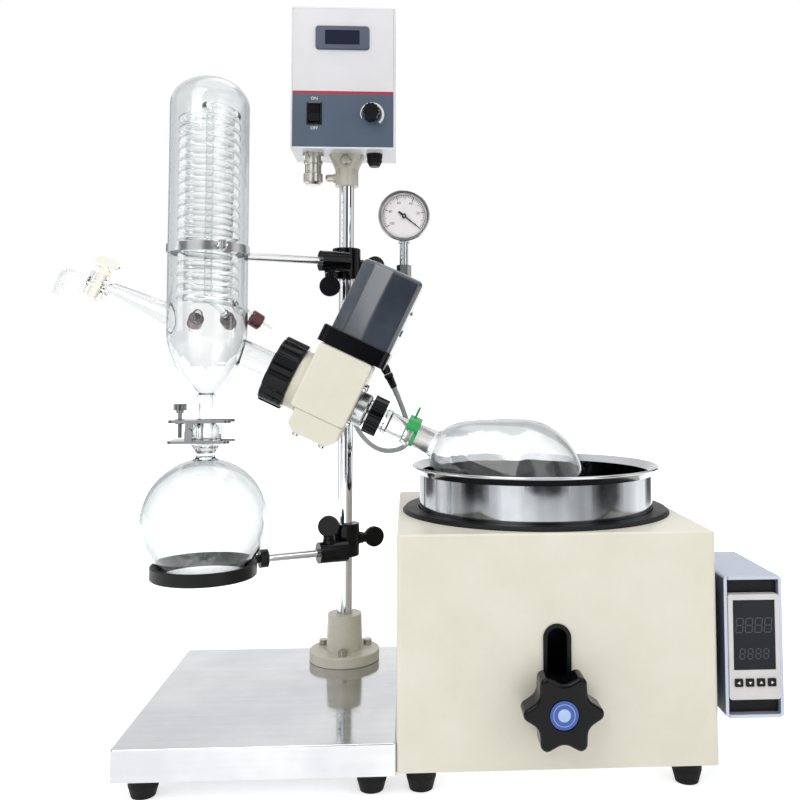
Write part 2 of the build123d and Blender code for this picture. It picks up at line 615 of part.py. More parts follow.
export_step(controller_bezel.part, "parts/controller_bezel.step")


# Four sprung keys below the window
def key_at(number):
    with BuildPart() as key:
        with BuildSketch(upright(unit_x + (number - 2.5) * key_pitch, front_y - 3.2, key_row_z)):
            RectangleRounded(key_width, key_height, 1)
        extrude(amount=-4.2)
        with BuildSketch(upright(unit_x + (number - 2.5) * key_pitch, front_y + 0.8, key_row_z)):
            Rectangle(key_width + 1.8, key_height + 2)
        extrude(amount=-1.2)
        with BuildSketch(upright(unit_x + (number - 2.5) * key_pitch, front_y + 2, key_row_z)):
            Circle(1.6)
        extrude(amount=-2.9)
    return key.part


for number in (1, 2, 3, 4):
    controller_key = key_at(number)
    controller_key.label = f"controller_key_{number}"
    export_step(controller_key, f"parts/controller_key_{number}.step")

# Head housing: block with a threaded nose, bearing seats, gear chamber and shaft bore
seal_r, seal_flange_r, seal_depth = 20.9, 28.0, 8.0
relief_r = 17.0
spigot_r, spigot_length = 12.0, 4.0
hub_z = head_z - 15.5
cover_bolts = GridLocations(30, 71.2, 2, 2).locations
nose_bolts = ((26, 22), (-26, 22), (29, -18), (-29, -18))
with BuildPart() as head_housing:
    with BuildSketch(head_plane.offset(-head_front)):
        with Locations(((housing_start + housing_end) / 2, (housing_low + housing_high) / 2)):
            RectangleRounded(housing_end - housing_start, housing_high - housing_low, 5)
    extrude(amount=2 * head_front)
    fillet(head_housing.edges().group_by(Axis.Y)[0], 2.5)
    add(turned(spin_plane, (0, 0), (thread_r, 0), (thread_r, thread_length), (nose_r, thread_length),
               (nose_r, housing_start + 2), (0, housing_start + 2)))
    add(turned(spin_plane, (0, -1), (seal_r + 0.05, -1), (seal_r + 0.05, seal_depth), (relief_r, seal_depth),
               (relief_r, 19), (bearing_r + 0.02, 19), (bearing_r + 0.02, 19 + bearing_width),
               (relief_r, 19 + bearing_width), (relief_r, chamber_start), (chamber_r, chamber_start),
               (chamber_r, chamber_end), (relief_r, chamber_end),
               (relief_r, housing_end - bearing_width), (bearing_r + 0.02, housing_end - bearing_width),
               (bearing_r + 0.02, housing_end + 1), (0, housing_end + 1)), mode=Mode.SUBTRACT)
    with BuildSketch(head_floor(housing_low - 1, (chamber_start + chamber_end) / 2)):
        Rectangle(chamber_end - chamber_start, 2 * chamber_r)
    extrude(amount=-housing_low + 1, mode=Mode.SUBTRACT)
    with BuildSketch(head_floor(10, motor_a)):
        Circle(spigot_r)
    extrude(amount=housing_high, mode=Mode.SUBTRACT)
    with BuildSketch(upright(hub_x, glass_y + head_front, hub_z)):
        Circle(spigot_r + 0.02)
    extrude(amount=spigot_length, mode=Mode.SUBTRACT)
    with BuildSketch(head_floor(housing_low - 1, 58)):
        with Locations(*cover_bolts):
            Circle(1.82)
    extrude(amount=9, mode=Mode.SUBTRACT)
    with BuildSketch(head_section(housing_end)):
        with Locations(*nose_bolts):
            Circle(2.02)
    extrude(amount=-5.5, mode=Mode.SUBTRACT)
head_housing.part.label = "head_housing"
export_step(head_housing.part, "parts/head_housing.step")

# Gear cover under the housing
with BuildPart() as gear_cover:
    with BuildSketch(head_plane.offset(-head_front + 1)):
        with BuildLine():
            Polyline((cover_start, housing_low), (cover_start, cover_low + 7), (cover_start + 8, cover_low),
                     (cover_end - 8, cover_low), (cover_end, cover_low + 7), (cover_end, housing_low),
                     close=True)
        make_face()
    extrude(amount=2 * head_front - 2)
    fillet(gear_cover.edges().filter_by(Axis.Y).group_by(Axis(head_plane.origin, across))[0], 3)
    add(turned(spin_plane, (0, chamber_start), (chamber_r, chamber_start), (chamber_r, chamber_end),
               (0, chamber_end)), mode=Mode.SUBTRACT)
    with BuildSketch(head_floor(cover_low - 1, 58)):
        with Locations(*cover_bolts):
            Circle(1.82)
    extrude(amount=30, mode=Mode.SUBTRACT)
gear_cover.part.label = "gear_cover"
export_step(gear_cover.part, "parts/gear_cover.step")

# Column clamp: split sleeve on the column and the hub that carries the head
ear_x = column_x - 33.0
with BuildPart() as column_clamp:
    with Locations((column_x, column_y, hub_z)):
        Cylinder(sleeve_r, sleeve_height)
    with BuildSketch(upright(hub_x, glass_y + head_front, hub_z)):
        Circle(hub_r)
    extrude(amount=-(column_y - glass_y - head_front))
    with BuildSketch(upright(hub_x, glass_y + head_front - spigot_length, hub_z)):
        Circle(spigot_r)
    extrude(amount=-2 * spigot_length)
    with Locations((column_x - 29, column_y, hub_z)):
        Box(26, 18, 44)
    with Locations((column_x, column_y, hub_z)):
        Cylinder(column_r + running_gap, 2 * sleeve_height, mode=Mode.SUBTRACT)
    with Locations((column_x - 28, column_y, hub_z)):
        Box(40, 2, 2 * sleeve_height, mode=Mode.SUBTRACT)
    with BuildSketch(upright(ear_x, column_y - 10, hub_z)):
        with GridLocations(1, 28, 1, 2):
            Circle(3.02)
    extrude(amount=-20, mode=Mode.SUBTRACT)
column_clamp.part.label = "column_clamp"
export_step(column_clamp.part, "parts/column_clamp.step")

# Screws of the head: clamp ears, gear cover, nose and the condenser band's screw
rod_turn = degrees(atan2(column_y - glass_y, column_x - condenser_x)
                   - asin(rod_offset / hypot(column_x - condenser_x, column_y - glass_y)))
rod_way = Vector(cos(radians(rod_turn)), sin(radians(rod_turn)), 0)
band_inner_r = jacket_r + 0.05
band_ear_turn = radians(-62)
band_ear = Vector(cos(band_ear_turn), sin(band_ear_turn), 0)
ear_reach = band_inner_r + 9.0
band_screw_at = Vector(condenser_x, glass_y, band_z) + band_ear * ear_reach
with BuildPart() as head_screws:
    for height in (-14, 14):
        add(screw_on(plane_along((ear_x, column_y - 9, hub_z + height), (0, -1, 0)), 5.4, 5.0, 3.0, 22.0))
    for spot in cover_bolts:
        start = head_floor(cover_low, 58).from_local_coords(spot.position)
        add(screw_on(plane_along(start, -across), 3.6, 3.0, 1.8, 30.0))
    for side, height in nose_bolts:
        start = head_section(housing_end).from_local_coords((side, height, 0))
        add(screw_on(plane_along(start, along), 4.4, 3.6, 2.0, 5.0))
    side_way = band_ear.cross(Vector(0, 0, 1))
    add(screw_on(plane_along(band_screw_at + side_way * 3.2, side_way), 3.2, 2.4, 1.5, 9.0))
head_screws.part.label = "head_screws"
export_step(head_screws.part, "parts/head_screws.step")

# Motor flange: a thick plate with the shaft's lower journal and the lead's outlet
lead_way = Vector(cos(radians(-65)), 0, sin(radians(-65)))
lead_root = Vector(seam_x - 18.5, front_y + 182.0, 398.0)
lead_gland_length = 14.0
lead_exit = lead_root + lead_way * lead_gland_length
shaft_r = 4.0
with BuildPart() as motor_flange:
    with BuildSketch(head_floor(housing_high)):
        with Locations(((adapter_start + adapter_end) / 2, 0)):
            RectangleRounded(adapter_end - adapter_start, 2 * adapter_half, 8)
    extrude(amount=adapter_top - housing_high)
    chamfer(motor_flange.faces().sort_by(Axis(head_plane.origin, across))[-1].edges(), 1.2)
    add(turned(plane_along(lead_root, lead_way), (0, 0), (5.0, 0), (5.0, lead_gland_length - 4),
               (4.0, lead_gland_length), (0, lead_gland_length)))
    with BuildSketch(head_floor(housing_high, motor_a)):
        Circle(shaft_r + running_gap)
    extrude(amount=30, mode=Mode.SUBTRACT)
    with BuildSketch(head_floor(adapter_top, motor_a)):
        Circle(10)
    extrude(amount=-9, mode=Mode.SUBTRACT)
motor_flange.part.label = "motor_flange"
export_step(motor_flange.part, "parts/motor_flange.step")

# Motor casing: flat in front, behind and on the right, chamfered on the left, hollow inside
rotor_r, rotor_start, rotor_end = 22.0, 76.0, 126.0
shaft_top = 144.0
with BuildPart() as motor_casing:
    with BuildSketch(head_floor(adapter_top)) as casing_face:
        with BuildLine():
            Polyline((97, -motor_side), (62, -motor_side), (40, -29), (26, -13), (26, 13), (40, 29),
                     (62, motor_side), (97, motor_side), close=True)
        make_face()
        fillet(casing_face.vertices(), 6)
    extrude(amount=motor_top - adapter_top)
    fillet(motor_casing.faces().sort_by(Axis(head_plane.origin, across))[-1].edges(), 5.5)
    with BuildSketch(head_floor(adapter_top, motor_a)):
        Circle(rotor_r + 3)
    extrude(amount=rotor_end - adapter_top + 8, mode=Mode.SUBTRACT)
    with BuildSketch(head_floor(adapter_top, motor_a)):
        Circle(shaft_r + running_gap)
    extrude(amount=shaft_top - adapter_top + 1, mode=Mode.SUBTRACT)
    with BuildSketch(Plane(origin=head_plane.from_local_coords((97, 93, 18)), x_dir=(0, 1, 0), z_dir=along)):
        Circle(4)
    extrude(amount=1.8)
motor_casing.part.label = "motor_casing"
export_step(motor_casing.part, "parts/motor_casing.step")

# Pinion on the motor's shaft, with the rotor above it
tip_r, root_r = pinion_pitch_r + tooth_addendum, pinion_pitch_r - tooth_dedendum
gear_start = crown_pitch_r - gear_face / 2
half_tooth = (pinion_pitch_r * radians(180 / pinion_teeth) - tooth_play / 2) / 2
with BuildPart() as pinion_shaft:
    with BuildSketch(head_floor(gear_start, motor_a)):
        Circle(root_r)
        with PolarLocations(0, pinion_teeth):
            with BuildLine():
                Polyline((root_r - 0.5, -half_tooth - 0.45), (pinion_pitch_r, -half_tooth),
                         (tip_r, -half_tooth + 0.5), (tip_r, half_tooth - 0.5), (pinion_pitch_r, half_tooth),
                         (root_r - 0.5, half_tooth + 0.45), close=True)
            make_face()
    extrude(amount=gear_face)
    add(turned(Plane(origin=head_floor(0, motor_a).origin, x_dir=along, z_dir=(0, -1, 0)),
               (0, gear_start - 2), (shaft_r, gear_start - 2), (shaft_r, rotor_start), (rotor_r, rotor_start),
               (rotor_r, rotor_end), (shaft_r, rotor_end), (shaft_r, shaft_top), (0, shaft_top)))
pinion_shaft.part.label = "pinion_shaft"
export_step(pinion_shaft.part, "parts/pinion_shaft.step")

# Crown gear on the spindle: radial teeth that stand toward the motor's axis
crown_root = motor_a + pinion_pitch_r + tooth_dedendum
tooth_slope = 20.0
crown_tooth = 2 * half_tooth + 2 * tooth_dedendum * tan(radians(tooth_slope))
with BuildPart() as drive_gear:
    add(turned(spin_plane, (spindle_r + 0.02, crown_root), (crown_pitch_r + 4, crown_root),
               (crown_pitch_r + 4, crown_root + 5.5), (spindle_r + 5, crown_root + 5.5),
               (spindle_r + 5, crown_root + 8), (spindle_r + 0.02, crown_root + 8)))
    with BuildSketch(Plane(origin=head_section(crown_root).origin, x_dir=(0, 1, 0), z_dir=-along)):
        with PolarLocations(crown_pitch_r, crown_teeth, start_angle=90 + 180 / crown_teeth):
            Rectangle(gear_face, crown_tooth)
    extrude(amount=tooth_addendum + tooth_dedendum, taper=tooth_slope)
drive_gear.part.label = "drive_gear"
export_step(drive_gear.part, "parts/drive_gear.step")

# Spindle: hollow shaft with a nose collar outside the housing
spindle_start, spindle_end = 8.6, 111.0
with BuildPart() as spindle:
    add(turned(spin_plane, (spindle_bore_r, spindle_start), (spindle_r, spindle_start),
               (spindle_r, housing_end + 1), (19, housing_end + 1), (19, 98), (17.5, 101), (spindle_r, 101),
               (spindle_r, spindle_end), (spindle_bore_r, spindle_end)))
spindle.part.label = "spindle"
export_step(spindle.part, "parts/spindle.step")

# Two bearings and the lip seal on the vapour duct
with BuildPart() as bearings_and_seal:
    for start in (19, housing_end - bearing_width):
        add(turned(spin_plane, (spindle_r + running_gap, start), (bearing_r, start),
                   (bearing_r, start + bearing_width), (spindle_r + running_gap, start + bearing_width)))
    add(turned(spin_plane, (duct_r + running_gap, -3.2), (seal_flange_r, -3.2), (seal_flange_r, 0),
               (seal_r, 0), (seal_r, seal_depth - 0.1), (duct_r + running_gap, seal_depth - 0.1)))
bearings_and_seal.part.label = "bearings_and_seal"
export_step(bearings_and_seal.part, "parts/bearings_and_seal.step")

# Coupling nut that holds the condenser's side arm on the nose thread
nut_r, nut_start, nut_end = 38.0, -13.0, 14.0
with BuildPart() as condenser_nut:
    with BuildSketch(head_section(nut_start)) as nut_face:
        Circle(nut_r)
        with PolarLocations(nut_r + 6, 10):
            Circle(8, mode=Mode.SUBTRACT)
        fillet(nut_face.vertices(), 3)
    extrude(amount=nut_end - nut_start)
    fillet(condenser_nut.faces().filter_by(GeomType.PLANE).edges(), 2)
    add(turned(spin_plane, (0, nut_start - 1), (side_arm_r + 1.5, nut_start - 1),
               (side_arm_r + 1.5, nut_start + 4), (thread_r + running_gap, nut_start + 4),
               (thread_r + running_gap, nut_end + 1), (0, nut_end + 1)), mode=Mode.SUBTRACT)
condenser_nut.part.label = "condenser_nut"
export_step(condenser_nut.part, "parts/condenser_nut.step")

# Knurled locking collar on the spindle's nose
collar_r, collar_start, collar_end = 21.5, 103.0, 119.0
with BuildPart() as locking_collar:
    with BuildSketch(head_section(collar_start)):
        Circle(collar_r)
        with PolarLocations(collar_r + 1.4, 16):
            Circle(2.4, mode=Mode.SUBTRACT)
    extrude(amount=collar_end - collar_start)
    add(turned(spin_plane, (0, collar_start - 1), (spindle_r + running_gap, collar_start - 1),
               (spindle_r + running_gap, spindle_end + 0.3), (duct_r + 2.5, spindle_end + 0.3),
               (duct_r + 2.5, collar_end + 1), (0, collar_end + 1)), mode=Mode.SUBTRACT)
locking_collar.part.label = "locking_collar"
export_step(locking_collar.part, "parts/locking_collar.step")

# Vapour duct: glass tube through the spindle, flange and ground cone in the flask's neck
cone_start, cone_end = 150.3, 178.0
with BuildPart() as vapour_duct:
    add(turned(spin_plane, (10, -2), (duct_r, -2), (duct_r, 121), (duct_r + 2, 123), (duct_r + 2, 126),
               (duct_r, 128), (duct_r, duct_end - 0.8), (duct_r + 3, duct_end - 0.8),
               (duct_r + 3, cone_start - 0.3), (duct_r, cone_start - 0.3), (duct_r, cone_start),
               (duct_r - 1.3, cone_end), (8.7, cone_end), (10, cone_start)))
vapour_duct.part.label = "vapour_duct"
export_step(vapour_duct.part, "parts/vapour_duct.step")

# Evaporating flask: rim and ground neck, pear shoulder, round bowl
shoulder = ((21.0, 186.7, 41.0), (45.5, 218.0, 33.0), (65.4, 257.8, 21.0))


def shoulder_points(inset):
    return [(r - inset * cos(radians(lean)), a + inset * sin(radians(lean))) for r, a, lean in shoulder]


with BuildPart() as evaporating_flask:
    with BuildSketch(spin_plane):
        with BuildLine():
            Polyline((0, evap_centre + evap_r - wall), (0, evap_centre + evap_r))
            ThreePointArc((0, evap_centre + evap_r),
                          (evap_r * sin(radians(45)), evap_centre + evap_r * cos(radians(45))),
                          (evap_r, evap_centre))
            Spline((evap_r, evap_centre), *reversed(shoulder_points(0)), (evap_neck_r, cone_end),
                   tangents=((0, -1), (-0.15, -1)))
            Polyline((evap_neck_r, cone_end), (evap_neck_r, 156), (16, 154), (16, cone_start),
                     (duct_r + 0.04, cone_start), (duct_r - 1.26, cone_end))
            Spline((duct_r - 1.26, cone_end), *shoulder_points(wall), (evap_r - wall, evap_centre),
                   tangents=((0.15, 1), (0, 1)))
            ThreePointArc((evap_r - wall, evap_centre),
                          ((evap_r - wall) * sin(radians(45)),
                           evap_centre + (evap_r - wall) * cos(radians(45))),
                          (0, evap_centre + evap_r - wall))
        make_face()
    revolve(axis=Axis(spin_plane.origin, along))
evaporating_flask.part.label = "evaporating_flask"
export_step(evaporating_flask.part, "parts/evaporating_flask.step")

# Green clip over the two glass rims: two C rings joined by side bars, open below
clip_end = 160.0
with BuildPart() as keck_clip:
    for start, inner in ((clip_start, duct_r + 0.3), (156.2, evap_neck_r + 0.2)):
        with BuildSketch(head_section(start)):
            Circle(17.5)
            Circle(inner, mode=Mode.SUBTRACT)
            with Locations((0, -14)):
                Rectangle(1.7 * inner, 28, mode=Mode.SUBTRACT)
        extrude(amount=0.8 if start == clip_start else clip_end - start)
    with BuildSketch(head_section(clip_start)):
        Circle(18.6)
        Circle(16.4, mode=Mode.SUBTRACT)
        with Locations((0, -10)):
            Rectangle(40, 26, mode=Mode.SUBTRACT)
    extrude(amount=clip_end - clip_start)
    with BuildSketch(head_section(clip_start + 4)):
        with Locations((0, 23)):
            RectangleRounded(12, 13, 3)
    extrude(amount=2.4)
keck_clip.part.label = "keck_clip"
export_step(keck_clip.part, "parts/keck_clip.step")

# Condenser: jacket, ball joint, side arm, feed arm with its valve barrel, and three ports
valve_a = -225.3
barrel_r, barrel_low, barrel_high = 12.5, -14.0, 12.0
plug_r = 7.0
feed_bore_r = 3.2
arm_root = -92.6
valve_plane = Plane(origin=head_plane.from_local_coords((valve_a, 0, 0)), x_dir=along, z_dir=(0, -1, 0))


def port_plane(turn):
    swing, drop = radians(turn), radians(port_drop)
    outward = Vector(cos(swing) * cos(drop), -sin(swing) * cos(drop), -sin(drop))
    start = Vector(condenser_x + jacket_r * cos(swing), glass_y - jacket_r * sin(swing), port_z)
    return plane_along(start, outward)


def at_head(a, b):
    return head_plane.from_local_coords((a, b, 0))


def dome_points(inset):
    side, rise = jacket_r - inset, jacket_dome - inset
    return (side, jacket_high), (side, jacket_high + 0.55 * rise), (0.55 * side, jacket_high + rise), (
        0, jacket_high + rise)


spout_route = [at_head(valve_a - 9, 0), at_head(valve_a - 36, -2.5), at_head(valve_a - 34, -28.5)]
with BuildPart() as condenser_jacket:
    with BuildSketch(upright(condenser_x, glass_y)):
        with BuildLine():
            Polyline((0, ball_z - 11.9), (7.93, ball_z - 11.9))
            ThreePointArc((7.93, ball_z - 11.9), (ball_r, ball_z), (jacket_neck_r, ball_z + 10.46))
            Line((jacket_neck_r, ball_z + 10.46), (jacket_neck_r, jacket_neck_z))
            Bezier((jacket_neck_r, jacket_neck_z), (25, 375), (jacket_r, 405), (jacket_r, jacket_low))
            Line((jacket_r, jacket_low), (jacket_r, jacket_high))
            Bezier(*dome_points(0))
            Line((0, jacket_high + jacket_dome), (0, ball_z - 11.9))
        make_face()
    revolve(axis=Axis((condenser_x, glass_y, 0), (0, 0, 1)))
    add(turned(spin_plane, (0, arm_root), (side_arm_r, arm_root), (side_arm_r, -8.5), (side_flange_r, -8.5),
               (side_flange_r, -3.5), (0, -3.5)))
    add(turned(spin_plane, (0, -110), (feed_root_r + 3, -110), (feed_tip_r, valve_a + 13),
               (feed_tip_r, valve_a), (0, valve_a)))
    add(turned(valve_plane, (0, barrel_low), (barrel_r, barrel_low), (barrel_r, -3), (barrel_r - 2, -1),
               (barrel_r - 2, barrel_high), (0, barrel_high)))
    add(bent_rod(spout_route, 8, 5.0))
    for turn in port_turns:
        add(turned(port_plane(turn), (0, -5), (port_r, -5), (port_r, 13), (3.4, 13), (3.4, 19), (4.4, 21),
                   (3.4, 24), (4.4, 26), (3.2, 32), (0, 32)))
    with BuildSketch(upright(condenser_x, glass_y)):
        with BuildLine():
            Polyline((0, jacket_high + jacket_dome - wall), (0, 300), (6.8, 300), (6.8, jacket_neck_z + 2))
            Bezier((6.8, jacket_neck_z + 2), (23, 377.5), (jacket_r - wall, 406),
                   (jacket_r - wall, jacket_low + 1))
            Line((jacket_r - wall, jacket_low + 1), (jacket_r - wall, jacket_high))
            Bezier(*dome_points(wall))
        make_face()
    revolve(axis=Axis((condenser_x, glass_y, 0), (0, 0, 1)), mode=Mode.SUBTRACT)
    add(turned(spin_plane, (0, arm_root), (side_arm_r - wall, arm_root), (side_arm_r - wall, 0), (0, 0)),
        mode=Mode.SUBTRACT)
    add(turned(spin_plane, (0, -105), (feed_root_r + 3 - wall, -105), (feed_tip_r - wall, valve_a + 17),
               (feed_bore_r, valve_a + 13), (feed_bore_r, valve_a - 10), (0, valve_a - 10)),
        mode=Mode.SUBTRACT)
    add(bent_rod(spout_route, 8, feed_bore_r), mode=Mode.SUBTRACT)
    add(turned(valve_plane, (0, barrel_low - 1), (plug_r + running_gap, barrel_low - 1),
               (plug_r + running_gap, barrel_high + 1), (0, barrel_high + 1)), mode=Mode.SUBTRACT)
    for turn in port_turns:
        add(turned(port_plane(turn), (0, -9), (4, -9), (4, 10), (2.1, 12), (2.1, 33), (0, 33)),
            mode=Mode.SUBTRACT)
condenser_jacket.part.label = "condenser_jacket"
export_step(condenser_jacket.part, "parts/condenser_jacket.step")


# Cooling coil: a helix inside the jacket, its feed and its return down the middle
def inside_port(turn, depth):
    return port_plane(turn).from_local_coords((0, depth, 0))


def in_jacket(x, y, z):
    return Vector(condenser_x + x, glass_y + y, z)


with BuildPart() as condenser_coil:
    with BuildLine() as turns:
        Helix((coil_high - coil_low) / coil_turns, coil_high - coil_low, coil_r,
              center=(condenser_x, glass_y, coil_low), lefthand=True)
    with BuildSketch(Plane(origin=turns.line @ 0, z_dir=turns.line % 0)):
        RegularPolygon(coil_tube_r, 6)
    sweep(path=turns.line, is_frenet=True)
    add(bent_rod([in_jacket(coil_r, -1, coil_low), inside_port(port_turns[0], -13),
                  inside_port(port_turns[0], -1)], 4, 3.8))
    add(bent_rod([in_jacket(coil_r, 1, coil_high), in_jacket(0, 0, coil_high + 8),
                  in_jacket(0, 0, coil_low + 8), inside_port(port_turns[1], -13),
                  inside_port(port_turns[1], -1)], 3.9, 3.8))
condenser_coil.part.label = "condenser_coil"
export_step(condenser_coil.part, "parts/condenser_coil.step")

# Screw caps of the three ports
with BuildPart() as coolant_caps:
    for turn in port_turns:
        add(turned(port_plane(turn), (port_r + 0.02, 5.8), (cap_r, 5.8), (cap_r, 17.8), (cap_r - 1, 18.8),
                   (3.8, 18.8), (3.8, 13.3), (port_r + 0.02, 13.3)))
coolant_caps.part.label = "coolant_caps"
export_step(coolant_caps.part, "parts/coolant_caps.step")

# Stopcock plug: bored shank, collar and oval grip
with BuildPart() as stopcock_plug:
    add(turned(valve_plane, (0, barrel_low - 3.5), (9, barrel_low - 3.5), (9, barrel_low - flat_gap),
               (plug_r, barrel_low - flat_gap), (plug_r, barrel_high + flat_gap),
               (9.5, barrel_high + flat_gap), (9.5, barrel_high + 6), (5, barrel_high + 7.5),
               (5, barrel_high + 10), (0, barrel_high + 10)))
    with BuildSketch(valve_plane.offset(-3.5)):
        with Locations((0, 26)):
            Ellipse(14, 5.5)
    extrude(amount=7)
    add(turned(Plane(origin=valve_plane.origin - along * 12, x_dir=across, z_dir=(0, 1, 0)),
               (0, 0), (feed_bore_r, 0), (feed_bore_r, 24), (0, 24)), mode=Mode.SUBTRACT)
stopcock_plug.part.label = "stopcock_plug"
export_step(stopcock_plug.part, "parts/stopcock_plug.step")

# Receiving flask: bowl, neck and the cup of the ball joint
cup_r, cup_top, cup_gap = 16.8, 331.0, 0.3
bowl_top = receiver_z + sqrt(receiver_r ** 2 - receiver_neck_r ** 2)
bowl_in_r, neck_in_r = receiver_r - wall, receiver_neck_r - wall
bowl_in_top = receiver_z + sqrt(bowl_in_r ** 2 - neck_in_r ** 2)
cup_in_r = ball_r + cup_gap
cup_floor = ball_z - sqrt(cup_in_r ** 2 - neck_in_r ** 2)
with BuildPart() as receiving_flask:
    with BuildSketch(upright(condenser_x, glass_y)):
        with BuildLine():
            ThreePointArc((0, receiver_z - receiver_r), (receiver_r, receiver_z), (receiver_neck_r, bowl_top))
            Polyline((receiver_neck_r, bowl_top), (receiver_neck_r, 300), (15, 308), (15, 314.4),
                     (cup_r, 315.4), (cup_r, cup_top), (cup_in_r, cup_top), (cup_in_r, ball_z))
            ThreePointArc((cup_in_r, ball_z),
                          (cup_in_r * cos(radians(28)), ball_z - cup_in_r * sin(radians(28))),
                          (neck_in_r, cup_floor))
            Line((neck_in_r, cup_floor), (neck_in_r, bowl_in_top))
            ThreePointArc((neck_in_r, bowl_in_top), (bowl_in_r, receiver_z), (0, receiver_z - bowl_in_r))
            Line((0, receiver_z - bowl_in_r), (0, receiver_z - receiver_r))
        make_face()
    revolve(axis=Axis((condenser_x, glass_y, 0), (0, 0, 1)))
    fillet(receiving_flask.edges().filter_by(GeomType.CIRCLE).sort_by(
        lambda edge: abs(edge.center().Z - bowl_top) + abs(edge.radius - receiver_neck_r))[0], 5)
receiving_flask.part.label = "receiving_flask"
export_step(receiving_flask.part, "parts/receiving_flask.step")

# Pinch clamp on the ball joint: two forks hinged beside the cup and a screw through the tails
pivot_x, pivot_z = condenser_x - 14.5, 323.0
tail_end, tail_screw_x = 38.0, condenser_x - 28.0
jaw_pin_r = 2.0


def fork(bottom, thick, opening, ear_inner, ear_outer):
    # a fork plate open to +x with a pair of ears at the pivot
    with BuildPart() as plate:
        with BuildSketch(Plane.XY.offset(bottom)):
            with Locations((condenser_x - 4.5, glass_y)):
                RectangleRounded(2 * tail_end - 9, 2 * ear_outer, 6)
            with Locations((condenser_x, glass_y)):
                Circle(opening, mode=Mode.SUBTRACT)
            with Locations((condenser_x + tail_end / 2, glass_y)):
                Rectangle(tail_end, 2 * opening, mode=Mode.SUBTRACT)
        extrude(amount=thick)
        for side in (1, -1):
            middle = glass_y + side * (ear_inner + ear_outer) / 2
            ear_low = min(bottom, pivot_z)
            ear_high = pivot_z if bottom < pivot_z else bottom + thick
            with Locations((pivot_x, middle, (ear_low + ear_high) / 2)):
                Box(8, ear_outer - ear_inner, ear_high - ear_low)
            with Locations(Plane(origin=(pivot_x, middle, pivot_z), z_dir=(0, 1, 0))):
                Cylinder(4, ear_outer - ear_inner)
    return plate.part


with BuildPart() as pinch_jaw_lower:
    add(fork(311.2, 2.8, 15.3, 16.2, 19))
    for side in (1, -1):
        with Locations(Plane(origin=(pivot_x, glass_y + side * 16, pivot_z), z_dir=(0, 1, 0))):
            Cylinder(jaw_pin_r, 4.4)
pinch_jaw_lower.part.label = "pinch_jaw_lower"
export_step(pinch_jaw_lower.part, "parts/pinch_jaw_lower.step")

with BuildPart() as pinch_jaw_upper:
    add(fork(333.0, 3.0, 10.3, 13.6, 15.9))
    with Locations(Plane(origin=(pivot_x, glass_y, pivot_z), z_dir=(0, 1, 0))):
        Cylinder(jaw_pin_r + running_gap, 60, mode=Mode.SUBTRACT)
    with Locations((tail_screw_x, glass_y, 334)):
        Cylinder(5.0, 5)
        Cylinder(2.2 + running_gap, 20, mode=Mode.SUBTRACT)
pinch_jaw_upper.part.label = "pinch_jaw_upper"
export_step(pinch_jaw_upper.part, "parts/pinch_jaw_upper.step")

# Its screw, backed off the lower jaw by the set-back so that the jaw is free to open
screw_set_back = 2.2
screw_tip = 314.0 + flat_gap + screw_set_back
screw_seat = 341.0 + screw_set_back
with BuildPart() as pinch_screw:
    add(turned(upright(tail_screw_x, glass_y, 0), (0, screw_tip), (2.2, screw_tip), (2.2, screw_seat),
               (4, screw_seat), (4, screw_seat + 3), (0, screw_seat + 3)))
    with BuildSketch(Plane.XY.offset(screw_seat + 3)):
        with Locations((tail_screw_x, glass_y)):
            Circle(7)
            with PolarLocations(7.4, 12):
                Circle(1.1, mode=Mode.SUBTRACT)
    extrude(amount=7)
pinch_screw.part.label = "pinch_screw"
export_step(pinch_screw.part, "parts/pinch_screw.step")

# Band round the jacket with its ears and the rod that carries it
rod_reach = hypot(column_x - condenser_x, column_y - glass_y) * cos(
    radians(rod_turn) - atan2(column_y - glass_y, column_x - condenser_x))
band_centre = Vector(condenser_x, glass_y, band_z)
rod_z = upper_boss_z


def rod_between(start, end, height):
    with BuildPart() as rod:
        with BuildSketch(Plane(origin=Vector(condenser_x, glass_y, height) + rod_way * start, z_dir=rod_way)):
            Circle(rod_r)
        extrude(amount=end - start)
        chamfer(rod.faces().sort_by(Axis((0, 0, 0), rod_way))[-1].edges(), 1)
    return rod.part


rod_end = rod_reach - 4.0
with BuildPart() as condenser_band:
    with Locations(band_centre):
        Cylinder(band_inner_r + band_thick, band_height)
    ear_frame = Plane(origin=band_centre + band_ear * (ear_reach - 1.5), x_dir=band_ear, z_dir=(0, 0, 1))
    with Locations(ear_frame):
        Box(14, 6.4, band_height)
    with Locations(Plane(origin=band_centre + band_ear * (ear_reach + 4), x_dir=band_ear, z_dir=(0, 0, 1))):
        Cylinder(3.2, band_height)
    add(rod_between(band_inner_r - 2, rod_end, rod_z))
    with Locations(band_centre):
        Cylinder(band_inner_r, 40, mode=Mode.SUBTRACT)
    with Locations(ear_frame):
        Box(24, 1.6, 40, mode=Mode.SUBTRACT)
    with Locations(Plane(origin=band_screw_at, z_dir=band_ear.cross(Vector(0, 0, 1)))):
        Cylinder(1.52, 30, mode=Mode.SUBTRACT)
condenser_band.part.label = "condenser_band"
export_step(condenser_band.part, "parts/condenser_band.step")


# Boss heads: a sleeve for the column and a sleeve for the rod, each with its thumb screw
def boss_frame(height):
    return Plane(origin=(column_x, column_y, height), x_dir=rod_way, z_dir=(0, 0, 1))


